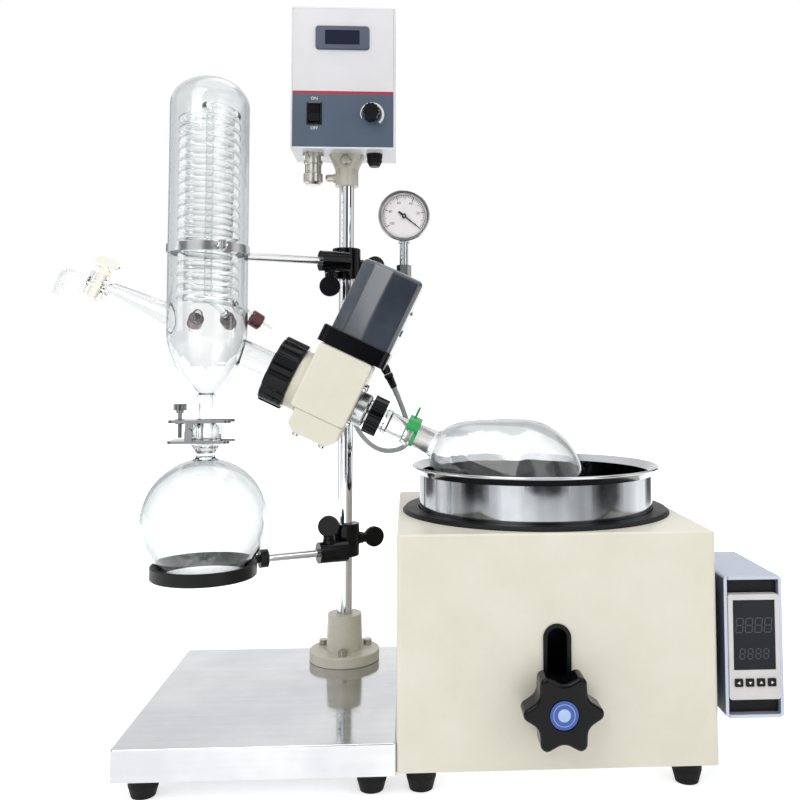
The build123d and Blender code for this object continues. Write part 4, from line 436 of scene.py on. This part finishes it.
looks = {
    "creamEnamel": {"tone": "e6e2d3", "shade": "dfdbca", "roughness": (0.36, 0.46), "grain": 700.0,
                    "bump": 0.10, "speckleAndPaintedStreaks": 0.06, "coat": 0.15},
    "paleEnamel": {"tone": "e6e7ea", "shade": "dcdde1", "roughness": (0.34, 0.44), "grain": 700.0,
                   "bump": 0.08, "speckleAndPaintedStreaks": 0.06, "coat": 0.15},
    "castEnamel": {"tone": "c9c6b8", "shade": "bcb8a9", "roughness": (0.3, 0.42), "grain": 500.0,
                   "bump": 0.18, "speckleAndPaintedStreaks": 0.10, "coat": 0.25},
    "slateEnamel": {"tone": "3c444f", "shade": "313842", "roughness": (0.14, 0.24), "grain": 420.0,
                    "bump": 0.12, "speckleAndPaintedStreaks": 0.15, "coat": 0.8},
    "anodised": {"tone": "c3cad9", "shade": "b3bbcc", "roughness": (0.3, 0.42), "grain": 500.0,
                 "stretch": (1.0, 0.03, 1.0), "bump": 0.08, "metallic": 0.55, "speckleAndPaintedStreaks": 0.3},
    "brushedSteel": {"tone": "efefee", "shade": "e6e6e5", "roughness": (0.26, 0.38), "grain": 260.0,
                     "stretch": (0.02, 1.0, 1.0), "bump": 0.03, "metallic": 1.0, "speckleAndPaintedStreaks": 0.2,
                     "roughBy": "grain"},
    "traySteel": {"tone": "e0e1e3", "shade": "cbccd0", "roughness": (0.07, 0.15), "grain": 120.0,
                  "stretch": (0.04, 1.0, 1.0), "bump": 0.006, "metallic": 1.0, "speckleAndPaintedStreaks": 0.3, "drift": 6.0,
                  "roughBy": "grain"},
    # the pot's colour carries upright dark and bright bands: its grain is stretched tall at full strength
    # over a near black low end, painted reflection streaks
    "mirrorSteel": {"tone": "b6b9bd", "shade": "9fa2a7", "roughness": (0.05, 0.12), "grain": 11.0,
                    "stretch": (1.0, 1.0, 0.02), "bump": 0.0, "metallic": 1.0, "speckleAndPaintedStreaks": 1.0, "dark": 0.05,
                    "span": (0.43, 0.62)},
    "rimSteel": {"tone": "c6c8cb", "shade": "b2b5b8", "roughness": (0.06, 0.12), "grain": 240.0,
                 "bump": 0.01, "metallic": 1.0, "speckleAndPaintedStreaks": 0.12},
    "darkSteel": {"tone": "8f9194", "shade": "6f7174", "roughness": (0.1, 0.2), "grain": 500.0,
                  "bump": 0.03, "metallic": 1.0, "speckleAndPaintedStreaks": 0.3},
    "turnedSteel": {"tone": "c9cacb", "shade": "b4b6b8", "roughness": (0.16, 0.28), "grain": 600.0,
                    "bump": 0.03, "metallic": 1.0, "speckleAndPaintedStreaks": 0.3},
    "chromePlate": {"tone": "d8dadc", "shade": "cccfd2", "roughness": (0.03, 0.08), "grain": 500.0,
                    "stretch": (1.0, 1.0, 0.2), "bump": 0.01, "metallic": 1.0, "speckleAndPaintedStreaks": 0.08},
    "blackGloss": {"tone": "0c0d11", "shade": "07080b", "roughness": (0.1, 0.18), "grain": 650.0,
                   "bump": 0.05, "speckleAndPaintedStreaks": 0.4, "specular": 0.12, "coat": 0.12, "coatRoughness": 0.05},
    "blackSatin": {"tone": "17181a", "shade": "101113", "roughness": (0.26, 0.4), "grain": 700.0,
                   "bump": 0.12, "speckleAndPaintedStreaks": 0.4, "specular": 0.18},
    "blackMoulding": {"tone": "121315", "shade": "0c0d0f", "roughness": (0.36, 0.5), "grain": 900.0,
                      "bump": 0.2, "speckleAndPaintedStreaks": 0.3, "specular": 0.18},
    "paleMoulding": {"tone": "dddcda", "shade": "cfcecd", "roughness": (0.38, 0.5), "grain": 1100.0,
                     "bump": 0.12, "speckleAndPaintedStreaks": 0.12},
    "zincPlate": {"tone": "c4c2bb", "shade": "a9a7a0", "roughness": (0.2, 0.36), "grain": 800.0,
                  "bump": 0.06, "metallic": 1.0, "speckleAndPaintedStreaks": 0.35},
    "sheathSteel": {"tone": "8a8178", "shade": "6e665f", "roughness": (0.4, 0.6), "grain": 700.0,
                    "bump": 0.12, "metallic": 0.9, "speckleAndPaintedStreaks": 0.4},
    "footRubber": {"tone": "1c1c1d", "shade": "131314", "roughness": (0.6, 0.78), "grain": 1300.0,
                   "bump": 0.28, "speckleAndPaintedStreaks": 0.3, "specular": 0.2},
    "capRed": {"tone": "6a2632", "shade": "561b27", "roughness": (0.3, 0.42), "grain": 900.0,
               "bump": 0.08, "speckleAndPaintedStreaks": 0.3},
    "clipGreen": {"tone": "14b45c", "shade": "0d9c4d", "roughness": (0.2, 0.32), "grain": 900.0,
                  "bump": 0.06, "speckleAndPaintedStreaks": 0.25, "coat": 0.2},
    "pointerInk": {"tone": "17171a", "shade": "101012", "roughness": (0.4, 0.5), "grain": 900.0,
                   "bump": 0.05, "speckleAndPaintedStreaks": 0.3},
    "leadSheath": {"tone": "b6b9ba", "shade": "a5a8aa", "roughness": (0.42, 0.56), "grain": 1200.0,
                   "bump": 0.15, "speckleAndPaintedStreaks": 0.2},
    "dialPaper": {"tone": "dcd9d9", "shade": "d0cccd", "roughness": (0.45, 0.55), "grain": 1500.0,
                  "bump": 0.03, "speckleAndPaintedStreaks": 0.08},
    "printWhite": {"tone": "f0f0f0", "shade": "e6e6e6", "roughness": (0.4, 0.5), "grain": 1500.0,
                   "bump": 0.02, "speckleAndPaintedStreaks": 0.05},
    "smokedWindow": {"tone": "1b1e27", "shade": "151820", "roughness": (0.08, 0.14), "grain": 900.0,
                     "bump": 0.01, "speckleAndPaintedStreaks": 0.2, "specular": 0.15, "coat": 0.05},
    "navyWindow": {"tone": "141d38", "shade": "10172c", "roughness": (0.08, 0.14), "grain": 900.0,
                   "bump": 0.01, "speckleAndPaintedStreaks": 0.2, "specular": 0.15, "coat": 0.1},
    # slate of the display frame, also laid on the controller's left side as painted shade
    "slateBezelAndPaintedShade": {"tone": "4d566a", "shade": "434b5d", "roughness": (0.3, 0.4), "grain": 1000.0,
                   "bump": 0.08, "speckleAndPaintedStreaks": 0.2},
    "dimDigits": {"tone": "33373f", "shade": "2b2f36", "roughness": (0.3, 0.4), "grain": 1000.0,
                  "bump": 0.02, "speckleAndPaintedStreaks": 0.1},
    "discBlue": {"tone": "2456b4", "shade": "1d49a0", "roughness": (0.16, 0.24), "grain": 900.0,
                 "bump": 0.03, "speckleAndPaintedStreaks": 0.2, "coat": 0.4},
    "discPale": {"tone": "bcd2f2", "shade": "9dbcec", "roughness": (0.2, 0.3), "grain": 900.0,
                 "bump": 0.03, "speckleAndPaintedStreaks": 0.15, "coat": 0.3},
    "sealRubber": {"tone": "b9b4a4", "shade": "a8a394", "roughness": (0.5, 0.62), "grain": 1200.0,
                   "bump": 0.12, "speckleAndPaintedStreaks": 0.2},
}
glassLooks = {
    "clearGlass": {"tone": "fafbfb", "shade": "a2aaad", "edge": 0.44, "ior": 1.47,
                   "roughness": (0.0, 0.012), "wave": 45.0, "bump": 0.05},
    "coilGlass": {"tone": "f6f8f8", "shade": "a6adb0", "edge": 0.5, "ior": 1.45,
                  "roughness": (0.0, 0.03), "wave": 160.0, "bump": 0.12},
    "groundGlass": {"tone": "f4f4f2", "shade": "c9c9c6", "edge": 0.4, "ior": 1.45,
                    "roughness": (0.35, 0.5), "wave": 900.0, "bump": 0.2},
    "stopcockGlass": {"tone": "fcfaf0", "shade": "d6cc9c", "edge": 0.4, "ior": 1.47,
                      "roughness": (0.02, 0.06), "wave": 120.0, "bump": 0.08},
    "lensGlass": {"tone": "ffffff", "shade": "dfe4e6", "edge": 0.3, "ior": 1.1,
                  "roughness": (0.0, 0.01), "wave": 40.0, "bump": 0.01},
}
finishes = {name: makeFinish(name, look) for name, look in looks.items()}
finishes.update({name: makeGlass(name, look) for name, look in glassLooks.items()})


controlPanel = {
    "middleX": -57.56,
    "halfWidth": 200.0,
    "bottom": 648.0,
    "splitHeight": 716.3,     # top of the dark red stripe
    "stripe": 3.4,
    "pale": "dddcdf",
    "paleShade": "d6d5d9",
    "stripeTone": "a81f33",
    "slate": "4a5a6c",
    "slateShade": "445467",
    "grain": 1200.0,
    "roughness": (0.32, 0.42),
    "bump": 0.04,
}


def makePanelPrint():
    # pale upper field, dark red stripe and slate lower field, printed on one sheet
    material = bpy.data.materials.new("panelPrint")
    material.use_nodes = True
    tree = material.node_tree
    shader = tree.nodes["Principled BSDF"]
    field = tree.nodes.new("ShaderNodeGroup")
    field.node_tree = grainField
    field.inputs["Grain Scale"].default_value = controlPanel["grain"]
    slow = spread(tree, field.outputs["Drift"], 0.0, 1.0)
    pale = blended(tree, slow, tone(controlPanel["paleShade"]), tone(controlPanel["pale"]))
    slate = blended(tree, slow, tone(controlPanel["slateShade"]), tone(controlPanel["slate"]))
    masks = []
    bottom, top = controlPanel["bottom"], controlPanel["splitHeight"]
    stripeLow = top - controlPanel["stripe"]
    for low, high in ((bottom, stripeLow), (stripeLow, top)):
        patch = tree.nodes.new("ShaderNodeGroup")
        patch.node_tree = patchField
        patch.inputs["Middle"].default_value = (controlPanel["middleX"] / 1000, 0.0, (low + high) / 2000)
        patch.inputs["Half"].default_value = (controlPanel["halfWidth"] / 1000, 1.0, (high - low) / 2000)
        masks.append(patch.outputs["Patch"])
    colour = blended(tree, masks[0], pale, slate)
    colour = blended(tree, masks[1], colour, tone(controlPanel["stripeTone"]))
    tree.links.new(colour, shader.inputs["Base Color"])
    rough = spread(tree, field.outputs["Grain"], *controlPanel["roughness"])
    tree.links.new(rough, shader.inputs["Roughness"])
    bump = tree.nodes.new("ShaderNodeBump")
    bump.inputs["Strength"].default_value = controlPanel["bump"]
    bump.inputs["Distance"].default_value = skinDepth
    tree.links.new(field.outputs["Grain"], bump.inputs["Height"])
    tree.links.new(bump.outputs["Normal"], shader.inputs["Normal"])
    return material


finishes["panelPrint"] = makePanelPrint()
print("finishes made:", len(finishes))

nodeFinish = {
    "creamEnamel": ["bath_casing", "head_housing", "gear_cover", "column_clamp"],
    "paleEnamel": ["control_box_casing"],
    "castEnamel": ["column_flange", "box_bracket"],
    "slateEnamel": ["motor_casing", "gauge_post"],
    "anodised": ["controller_housing"],
    "panelPrint": ["control_front_panel"],
    "traySteel": ["base_tray"],
    "brushedSteel": ["bath_base_pan"],
    "turnedSteel": ["spindle", "drive_gear", "pinion_shaft", "condenser_band", "gauge_case"],
    "darkSteel": ["pinch_screw", "pinch_jaw_upper", "pinch_jaw_lower"],
    "sealRubber": ["bearings_and_seal"],
    "mirrorSteel": ["heating_pot"],
    "chromePlate": ["column_rod", "head_screws"],
    "zincPlate": ["stand_screws", "box_sockets"],
    "blackGloss": ["condenser_nut", "locking_collar", "motor_flange", "star_knob", "speed_knob",
                   "power_rocker", "upper_boss_head", "lower_boss_head", "upper_column_screw",
                   "upper_rod_screw", "lower_column_screw", "lower_rod_screw"],
    "blackSatin": ["support_ring", "lift_bracket"],
    "sheathSteel": ["heater_ring"],
    "blackMoulding": ["casing_trims", "controller_bezel", "controller_key_1", "controller_key_2",
                      "controller_key_3", "controller_key_4"],
    "footRubber": ["rubber_feet"],
    "clearGlass": ["evaporating_flask", "condenser_jacket", "receiving_flask", "vapour_duct"],
    "coilGlass": ["condenser_coil"],
    "stopcockGlass": ["stopcock_plug"],
    "lensGlass": ["gauge_lens"],
    "capRed": ["coolant_caps"],
    "clipGreen": ["keck_clip"],
    "pointerInk": ["gauge_pointer"],
    "leadSheath": ["motor_lead"],
}


def dressNodes():
    for finish, names in nodeFinish.items():
        for name in names:
            slots = cadNodes[name].data.materials
            slots.clear()
            slots.append(finishes[finish])


def reface(node, finish, chosen):
    # faces of a node whose middle, in millimetres, passes the test take another finish
    mesh = cadNodes[node].data
    mesh.materials.append(finishes[finish])
    number = len(mesh.materials) - 1
    for face in mesh.polygons:
        if chosen(face.center * 1000):
            face.material_index = number


headAlong = Vector((math.cos(math.radians(ground["tilt"])), 0.0, -math.sin(math.radians(ground["tilt"]))))
headOrigin = Vector((ground["headX"], ground["glassY"], ground["headZ"]))


def headAlongOf(place):
    return (place - headOrigin).dot(headAlong)


# planes and reaches, in millimetres, that part the faces of one node
faceBounds = {
    "panelFrontY": 67.9,          # display frame and rocker frame stand proud of this plane
    "panelSplitZ": 700.0,         # display frame above, rocker frame below
    "displayY": (66.5, 66.95),
    "displayX": (-58.56, 20.1),   # middle and half width
    "keypadY": -126.2,            # pale front of the controller's frame
    "windowY": (-133.1, -132.9),
    "windowZ": 108.0,
    "dialMiddle": (13.94, 68.0, 569.0),
    "dialReach": (0.05, 27.0),    # in depth and across
    "groundFrom": 150.2,          # ground end of the duct, along the head's axis
    "gripX": -62.0,               # the black gland lies right of this
    "rimZ": 278.0,
    "controllerLeftX": 313.2,
    "gaugeStemZ": 491.5,
    "gaugeBackY": 83.5,
    "ringBarReach": 69.2,         # rod of the support ring, from the ring's middle
}


def within(value, limits):
    return limits[0] < value < limits[1]


def onDisplay(p):
    middle, half = faceBounds["displayX"]
    above = p.z > faceBounds["panelSplitZ"]
    return above and within(p.y, faceBounds["displayY"]) and abs(p.x - middle) < half


def onWindow(p):
    return within(p.y, faceBounds["windowY"]) and p.z > faceBounds["windowZ"]


def onDial(p):
    x, y, z = faceBounds["dialMiddle"]
    deep, across = faceBounds["dialReach"]
    return abs(p.y - y) < deep and math.hypot(p.x - x, p.z - z) < across


def onRod(p):
    return math.hypot(p.x - ground["condenserX"], p.y - ground["glassY"]) > faceBounds["ringBarReach"]


def dressFaces():
    bounds = faceBounds
    front, split = bounds["panelFrontY"], bounds["panelSplitZ"]
    reface("control_front_panel", "slateBezelAndPaintedShade", lambda p: p.y < front and p.z > split)
    reface("control_front_panel", "navyWindow", onDisplay)
    reface("control_front_panel", "blackMoulding", lambda p: p.y < front and p.z < split)
    reface("controller_bezel", "paleMoulding", lambda p: p.y < bounds["keypadY"])
    reface("controller_bezel", "smokedWindow", onWindow)
    reface("gauge_case", "dialPaper", onDial)
    reface("vapour_duct", "groundGlass", lambda p: headAlongOf(p) > bounds["groundFrom"])
    reface("box_sockets", "blackMoulding", lambda p: p.x > bounds["gripX"])
    reface("heating_pot", "rimSteel", lambda p: p.z > bounds["rimZ"])
    # the housing's left side, towards the bath, takes the dark slate finish: painted shade on that side
    reface("controller_housing", "slateBezelAndPaintedShade", lambda p: p.x < bounds["controllerLeftX"])
    reface("gauge_post", "turnedSteel", lambda p: p.z > bounds["gaugeStemZ"] or p.y > bounds["gaugeBackY"])
    reface("support_ring", "chromePlate", onRod)


dressNodes()
dressFaces()
print("nodes dressed")


# Mesh helpers

def axesFrame(origin, xAxis, zAxis):
    x, z = Vector(xAxis).normalized(), Vector(zAxis).normalized()
    made = Matrix((x, z.cross(x), z)).transposed().to_4x4()
    made.translation = Vector(origin)
    return made


def faceFrame(x, y, z):
    # x to the right, y up, z towards the viewer
    return axesFrame((x, y, z), (1, 0, 0), (0, -1, 0))


def standing(x, y, z=0.0):
    return Matrix.Translation((x, y, z))


sharpAngle = 35.0         # degrees between two faces past which their edge stays sharp
mergeDistance = 0.0005    # millimetres


def addPiece(name, bm, finish, body, place=None):
    if place is not None:
        bmesh.ops.transform(bm, matrix=place, verts=bm.verts)
    bmesh.ops.remove_doubles(bm, verts=bm.verts, dist=mergeDistance)
    bmesh.ops.transform(bm, matrix=toMetres, verts=bm.verts)
    bmesh.ops.recalc_face_normals(bm, faces=bm.faces)
    mesh = bpy.data.meshes.new(name)
    bm.to_mesh(mesh)
    bm.free()
    return finishPiece(name, mesh, finish, body)


def finishPiece(name, mesh, finish, body, replaces=(), sharp=sharpAngle):
    mesh.materials.clear()
    mesh.materials.append(finishes[finish])
    mesh.shade_smooth()
    mesh.set_sharp_from_angle(angle=math.radians(sharp))
    piece = bpy.data.objects.new(name, mesh)
    bpy.context.scene.collection.objects.link(piece)
    if body:
        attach(piece, body)
    if replaces:
        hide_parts(*replaces)
    return piece


def turned(outline, steps=72, closed=True):
    # an outline of (radius, height) spun about the z axis
    bm = bmesh.new()
    corners = [bm.verts.new((radius, 0.0, height)) for radius, height in outline]
    pairs = list(zip(corners, corners[1:]))
    if closed:
        pairs.append((corners[-1], corners[0]))
    edges = [bm.edges.new(pair) for pair in pairs]
    bmesh.ops.spin(bm, geom=corners + edges, axis=(0, 0, 1), cent=(0, 0, 0), angle=2 * math.pi,
                   steps=steps, use_merge=True)
    bmesh.ops.remove_doubles(bm, verts=bm.verts, dist=mergeDistance)
    return bm


def plate(width, height, thick):
    # a flat plate in the x, y plane, its face towards +z
    bm = bmesh.new()
    bmesh.ops.create_cube(bm, size=1.0)
    bmesh.ops.scale(bm, vec=(width, height, thick), verts=bm.verts)
    return bm


def joined(target, other, place=None):
    # adds the faces of one bmesh to another
    if place is not None:
        bmesh.ops.transform(other, matrix=place, verts=other.verts)
    mesh = bpy.data.meshes.new("part")
    other.to_mesh(mesh)
    other.free()
    target.from_mesh(mesh)
    bpy.data.meshes.remove(mesh)
    return target


letterDepth = 0.03        # millimetres that a print stands up on each side of its plane


def letterShape(words, size):
    # printed characters lying in the x, y plane
    data = bpy.data.curves.new("letters", "FONT")
    data.body = words
    data.size = size
    data.extrude = letterDepth
    data.align_x, data.align_y = "CENTER", "CENTER"
    maker = bpy.data.objects.new("letters", data)
    bpy.context.scene.collection.objects.link(maker)
    bpy.context.view_layer.update()
    ready = maker.evaluated_get(bpy.context.evaluated_depsgraph_get())
    mesh = bpy.data.meshes.new_from_object(ready)
    bpy.data.objects.remove(maker)
    bm = bmesh.new()
    bm.from_mesh(mesh)
    bpy.data.meshes.remove(mesh)
    return bm


def swung(degrees, reach=0.0):
    # turned about the frame's own z axis, then moved out along the turned x axis
    return Matrix.Rotation(math.radians(degrees), 4, "Z") @ Matrix.Translation((reach, 0.0, 0.0))


def laidLine(name, route, radius, resolution, roundness):
    # a smooth line led by the points of a route: a bare line where the radius is nought, else a closed tube
    data = bpy.data.curves.new(name, "CURVE")
    data.dimensions = "3D"
    data.resolution_u = resolution
    if radius:
        data.bevel_depth = radius / 1000
        data.bevel_resolution = roundness
        data.use_fill_caps = True
    line = data.splines.new("NURBS")
    line.points.add(len(route) - 1)
    for spot, place in zip(line.points, route):
        spot.co = (*(Vector(place) / 1000), 1.0)
    line.order_u = 3
    line.use_endpoint_u = True
    maker = bpy.data.objects.new(name, data)
    bpy.context.scene.collection.objects.link(maker)
    bpy.context.view_layer.update()
    mesh = bpy.data.meshes.new_from_object(maker.evaluated_get(bpy.context.evaluated_depsgraph_get()))
    bpy.data.objects.remove(maker)
    return mesh


# Motor lead: a soft cable from the flange's outlet, round behind the column, up to the control box

motorLead = {
    "diameter": 6.0,
    "length": 517.8,
    "exitWay": (0.422618, 0.0, -0.906308),
    "points": [
        (-3.98, 50.0, 385.1), (22.04, 50.0, 329.0), (18.44, 98.0, 296.0), (-21.56, 134.0, 290.0),
        (-53.56, 140.0, 330.0), (-57.56, 139.0, 400.0), (-53.56, 138.0, 470.0), (-57.56, 139.0, 540.0),
        (-54.56, 136.0, 592.0), (-55.56, 130.5, 635.6),
    ],
    "resolution": 14,
    "roundness": 5,
    "sharp": 60.0,
    # half of the boot's section, as radius and distance from the outlet
    "boot": [(3.05, 0), (5.0, 0), (5.0, 4), (4.2, 4.6), (4.8, 5.4), (4.0, 6.2), (4.6, 7.2), (3.9, 8.2),
             (4.4, 9.4), (3.8, 10.6), (4.2, 12), (3.7, 13.4), (3.9, 15), (3.5, 17), (3.05, 17)],
    "bootSteps": 40,
    "moves": (0.0, 0.054, 0.3),     # a place by the head
    "stays": (0.0, 0.136, 0.3),     # and one by the column, in metres
}


def makeLead():
    plan = motorLead
    smoothness = plan["resolution"], plan["roundness"]
    centre = laidLine("leadRoute", plan["points"], 0, *smoothness)
    bpy.data.meshes.remove(centre)
    tube = laidLine("leadRoute", plan["points"], plan["diameter"] / 2, *smoothness)
    lead = finishPiece("motorCable", tube, "leadSheath", None, sharp=plan["sharp"])
    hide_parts("motor_lead")
    outlet = Vector(plan["points"][0])
    boot = addPiece("cableBoot", turned(plan["boot"], plan["bootSteps"]), "blackMoulding", "head",
                    axesFrame(outlet, (0, 1, 0), plan["exitWay"]))
    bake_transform(lead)


makeLead()
print("motor lead laid")


# Vacuum gauge: printed scale of fine lines and numbers

gaugeDial = {
    "centre": (13.94, 67.96, 569.0),
    "start": -38.0,
    "sweep": 250.0,
    "steps": 50,
    "edgeR": 24.4,
    "longTick": (4.4, 0.9),       # length and width, at every number
    "midTick": (4.4, 0.45),
    "shortTick": (2.4, 0.45),
    "ink": 0.05,                  # thickness of the print
    "rim": 0.5,                   # width of the line round the ticks
    "numberR": 16.6,
    "numberSize": 4.3,
}


def makeGaugeScale():
    face = faceFrame(*gaugeDial["centre"])
    scale = bmesh.new()
    for step in range(gaugeDial["steps"] + 1):
        turn = gaugeDial["start"] + gaugeDial["sweep"] * step / gaugeDial["steps"]
        isLong, isMid = step % 10 == 0, step % 5 == 0
        length, width = gaugeDial["longTick" if isLong else "midTick" if isMid else "shortTick"]
        tick = plate(length, width, gaugeDial["ink"])
        joined(scale, tick, face @ swung(turn, gaugeDial["edgeR"] - length / 2))
        if isLong:
            number = letterShape(str(step * 2), gaugeDial["numberSize"])
            joined(scale, number, face @ swung(turn, gaugeDial["numberR"]) @ swung(-turn))
    inner, begin = gaugeDial["edgeR"], gaugeDial["start"]
    joined(scale, arcBand(inner, inner + gaugeDial["rim"], begin, begin + gaugeDial["sweep"]), face)
    addPiece("gaugeScale", scale, "pointerInk", "head")


def arcBand(innerR, outerR, start, end, outerEndR=None, steps=60, thick=0.05):
    # a flat curved band in the x, y plane, which may widen towards its end
    outerEndR = outerEndR or outerR
    bm = bmesh.new()
    rims = []
    for step in range(steps + 1):
        share = step / steps
        turn = math.radians(start + (end - start) * share)
        outer = outerR + (outerEndR - outerR) * share
        way = Vector((math.cos(turn), math.sin(turn), 0.0))
        rims.append((bm.verts.new(way * innerR), bm.verts.new(way * outer)))
    for (low, high), (lowNext, highNext) in zip(rims, rims[1:]):
        bm.faces.new((low, high, highNext, lowNext))
    bmesh.ops.solidify(bm, geom=bm.faces[:], thickness=thick)
    return bm


makeGaugeScale()
print("gauge scale printed")


# Control panel: switch words and the widening band round the speed dial

panelPrints = {
    "face": 67.93,
    "rocker": (-90.96, 689.6),
    "wordRise": 17.6,
    "wordSize": 5.0,
    "dial": (-24.26, 689.6),
    "bandR": (12.2, 13.0, 15.2),
    "bandTurn": (205.0, -48.0),
}


def makePanelWords():
    words = bmesh.new()
    x, z = panelPrints["rocker"]
    for text, side in (("ON", 1), ("OFF", -1)):
        place = faceFrame(x, panelPrints["face"], z + side * panelPrints["wordRise"])
        joined(words, letterShape(text, panelPrints["wordSize"]), place)
    inner, thin, wide = panelPrints["bandR"]
    start, end = panelPrints["bandTurn"]
    x, z = panelPrints["dial"]
    joined(words, arcBand(inner, thin, start, end, outerEndR=wide), faceFrame(x, panelPrints["face"], z))
    addPiece("panelWords", words, "printWhite", "stand")


makePanelWords()
print("control panel printed")


# Controller: unlit digit bars behind the window and marks on the keys

displayPlan = {
    "middle": (340.44, -133.04),
    "rows": ((151.0, 13.0, 9.0), (125.0, 9.0, 7.5)),     # height of the row, of a digit, spacing
    "digits": 4,
    "lean": 0.08,
    "bar": 1.0,
    "slim": 0.5,              # width of a digit over its height
    "thick": 0.04,
}
keyMarks = {
    "face": -135.23,
    "row": 99.3,
    "pitch": 10.4,
    "turns": (180.0, -90.0, 90.0, 0.0),
    "size": 1.7,
    "thick": 0.04,
}


def digitShape(height):
    # the seven bars of a digit
    width = height * displayPlan["slim"]
    bar, thick = displayPlan["bar"], displayPlan["thick"]
    shape = bmesh.new()
    for rise in (-1, 0, 1):
        joined(shape, plate(width - bar, bar, thick), standing(0, rise * height / 2))
    for side in (-1, 1):
        for rise in (-1, 1):
            upright = plate(bar, height / 2 - bar, thick)
            joined(shape, upright, standing(side * width / 2, rise * height / 4))
    for vertex in shape.verts:
        vertex.co.x += vertex.co.y * displayPlan["lean"]
    return shape


def makeDisplay():
    bars = bmesh.new()
    x, y = displayPlan["middle"]
    for z, height, pitch in displayPlan["rows"]:
        for number in range(displayPlan["digits"]):
            across = (number - (displayPlan["digits"] - 1) / 2) * pitch
            joined(bars, digitShape(height), faceFrame(x + across, y, z))
    addPiece("displayBars", bars, "dimDigits", "stand")


def makeKeyMarks():
    for number, turn in enumerate(keyMarks["turns"], start=1):
        x = displayPlan["middle"][0] + (number - 2.5) * keyMarks["pitch"]
        mark = bmesh.new()
        bmesh.ops.create_circle(mark, cap_ends=True, radius=keyMarks["size"], segments=3)
        bmesh.ops.solidify(mark, geom=mark.faces[:], thickness=keyMarks["thick"])
        bmesh.ops.transform(mark, matrix=swung(turn - 90.0), verts=mark.verts)
        addPiece(f"keyMark{number}", mark, "printWhite", f"key_{number}",
                 faceFrame(x, keyMarks["face"], keyMarks["row"]))


makeDisplay()
makeKeyMarks()
print("controller face finished")


# Star knob: blue inlay with a pale middle

knobInlay = {
    "centre": (155.94, -167.83, 86.0),
    "ringR": 12.5,
    "lineR": (9.3, 9.7),
    "paleR": 5.6,
    "low": 0.05,              # top of the blue disc at its edge
    "high": 0.12,             # top of the pale prints at their edge
    "domes": (0.08, 0.14),    # tops of both in the middle
}


def makeKnobInlay():
    face = faceFrame(*knobInlay["centre"])
    outer, under, over = knobInlay["ringR"], knobInlay["low"], knobInlay["high"]
    blueDome, paleDome = knobInlay["domes"]
    disc = turned([(0, 0), (outer, 0), (outer, under), (0, blueDome)], 72, closed=False)
    addPiece("knobDisc", disc, "discBlue", "lift_knob", face)
    low, high = knobInlay["lineR"]
    pale = turned([(low, under), (high, under), (high, over), (low, over)], 72)
    middle = knobInlay["paleR"]
    joined(pale, turned([(0, under), (middle, under), (middle, over), (0, paleDome)], 48, closed=False))
    addPiece("knobDiscPale", pale, "discPale", "lift_knob", face)


makeKnobInlay()
print("knob inlay set")


# Cooling coil: one smooth glass tube, wound down from the top, with its feed and its return

coilPlan = {
    "windR": 29.5,
    "low": 462.0,
    "high": 672.0,
    "turns": 17,
    "tubeR": 4.2,
    "portTurns": (-25.0, -75.0),
    "portDrop": 30.0,
    "portZ": 452.0,
    "jacketR": 43.0,
    "crown": 8.0,             # rise of the tube where it turns in to the middle
    "crownSwing": -160.0,
    "crownSteps": 12,
    "crownShare": 0.75,       # of a half wave, which shapes the rise
    "downSteps": 8,
    "stepsPerTurn": 28,
    "portDepths": (-1, -7, -13),
    "returnBend": ((0, 0, 12), (1, 4, 5)),     # from the middle of the lowest turn
    "resolution": 2,
    "roundness": 3,
    "sharp": 70.0,
}


def inJacket(x, y, z):
    return Vector((ground["condenserX"] + x, ground["glassY"] + y, z))


def insidePort(turn, depth):
    swing, drop = math.radians(turn), math.radians(coilPlan["portDrop"])
    outward = Vector((math.cos(swing) * math.cos(drop), -math.sin(swing) * math.cos(drop), -math.sin(drop)))
    reach = coilPlan["jacketR"]
    start = inJacket(reach * math.cos(swing), -reach * math.sin(swing), coilPlan["portZ"])
    return start + outward * depth


def coilRoute():
    plan = coilPlan
    feed, back = plan["portTurns"]
    low, high, windR = plan["low"], plan["high"], plan["windR"]
    route = [insidePort(feed, depth) for depth in plan["portDepths"]]
    steps = plan["turns"] * plan["stepsPerTurn"]
    for step in range(steps + 1):
        turn = -2 * math.pi * plan["turns"] * step / steps
        rise = (high - low) * step / steps
        route.append(inJacket(windR * math.cos(turn), windR * math.sin(turn), low + rise))
    for step in range(1, plan["crownSteps"] + 1):
        share = step / plan["crownSteps"]
        turn, reach = math.radians(plan["crownSwing"] * share), windR * (1 - share)
        rise = plan["crown"] * math.sin(share * plan["crownShare"] * math.pi)
        route.append(inJacket(reach * math.cos(turn), reach * math.sin(turn), high + rise))
    drop = (high - low) / plan["downSteps"]
    route += [inJacket(0, 0, high - drop * step) for step in range(plan["downSteps"])]
    route += [inJacket(x, y, low + z) for x, y, z in plan["returnBend"]]
    route += [insidePort(back, depth) for depth in reversed(plan["portDepths"])]
    return route


def makeCoil():
    plan = coilPlan
    tube = laidLine("coolingCoil", coilRoute(), plan["tubeR"], plan["resolution"], plan["roundness"])
    finishPiece("coolingCoil", tube, "coilGlass", "head", replaces=("condenser_coil",),
                sharp=plan["sharp"])


makeCoil()
print("cooling coil wound")
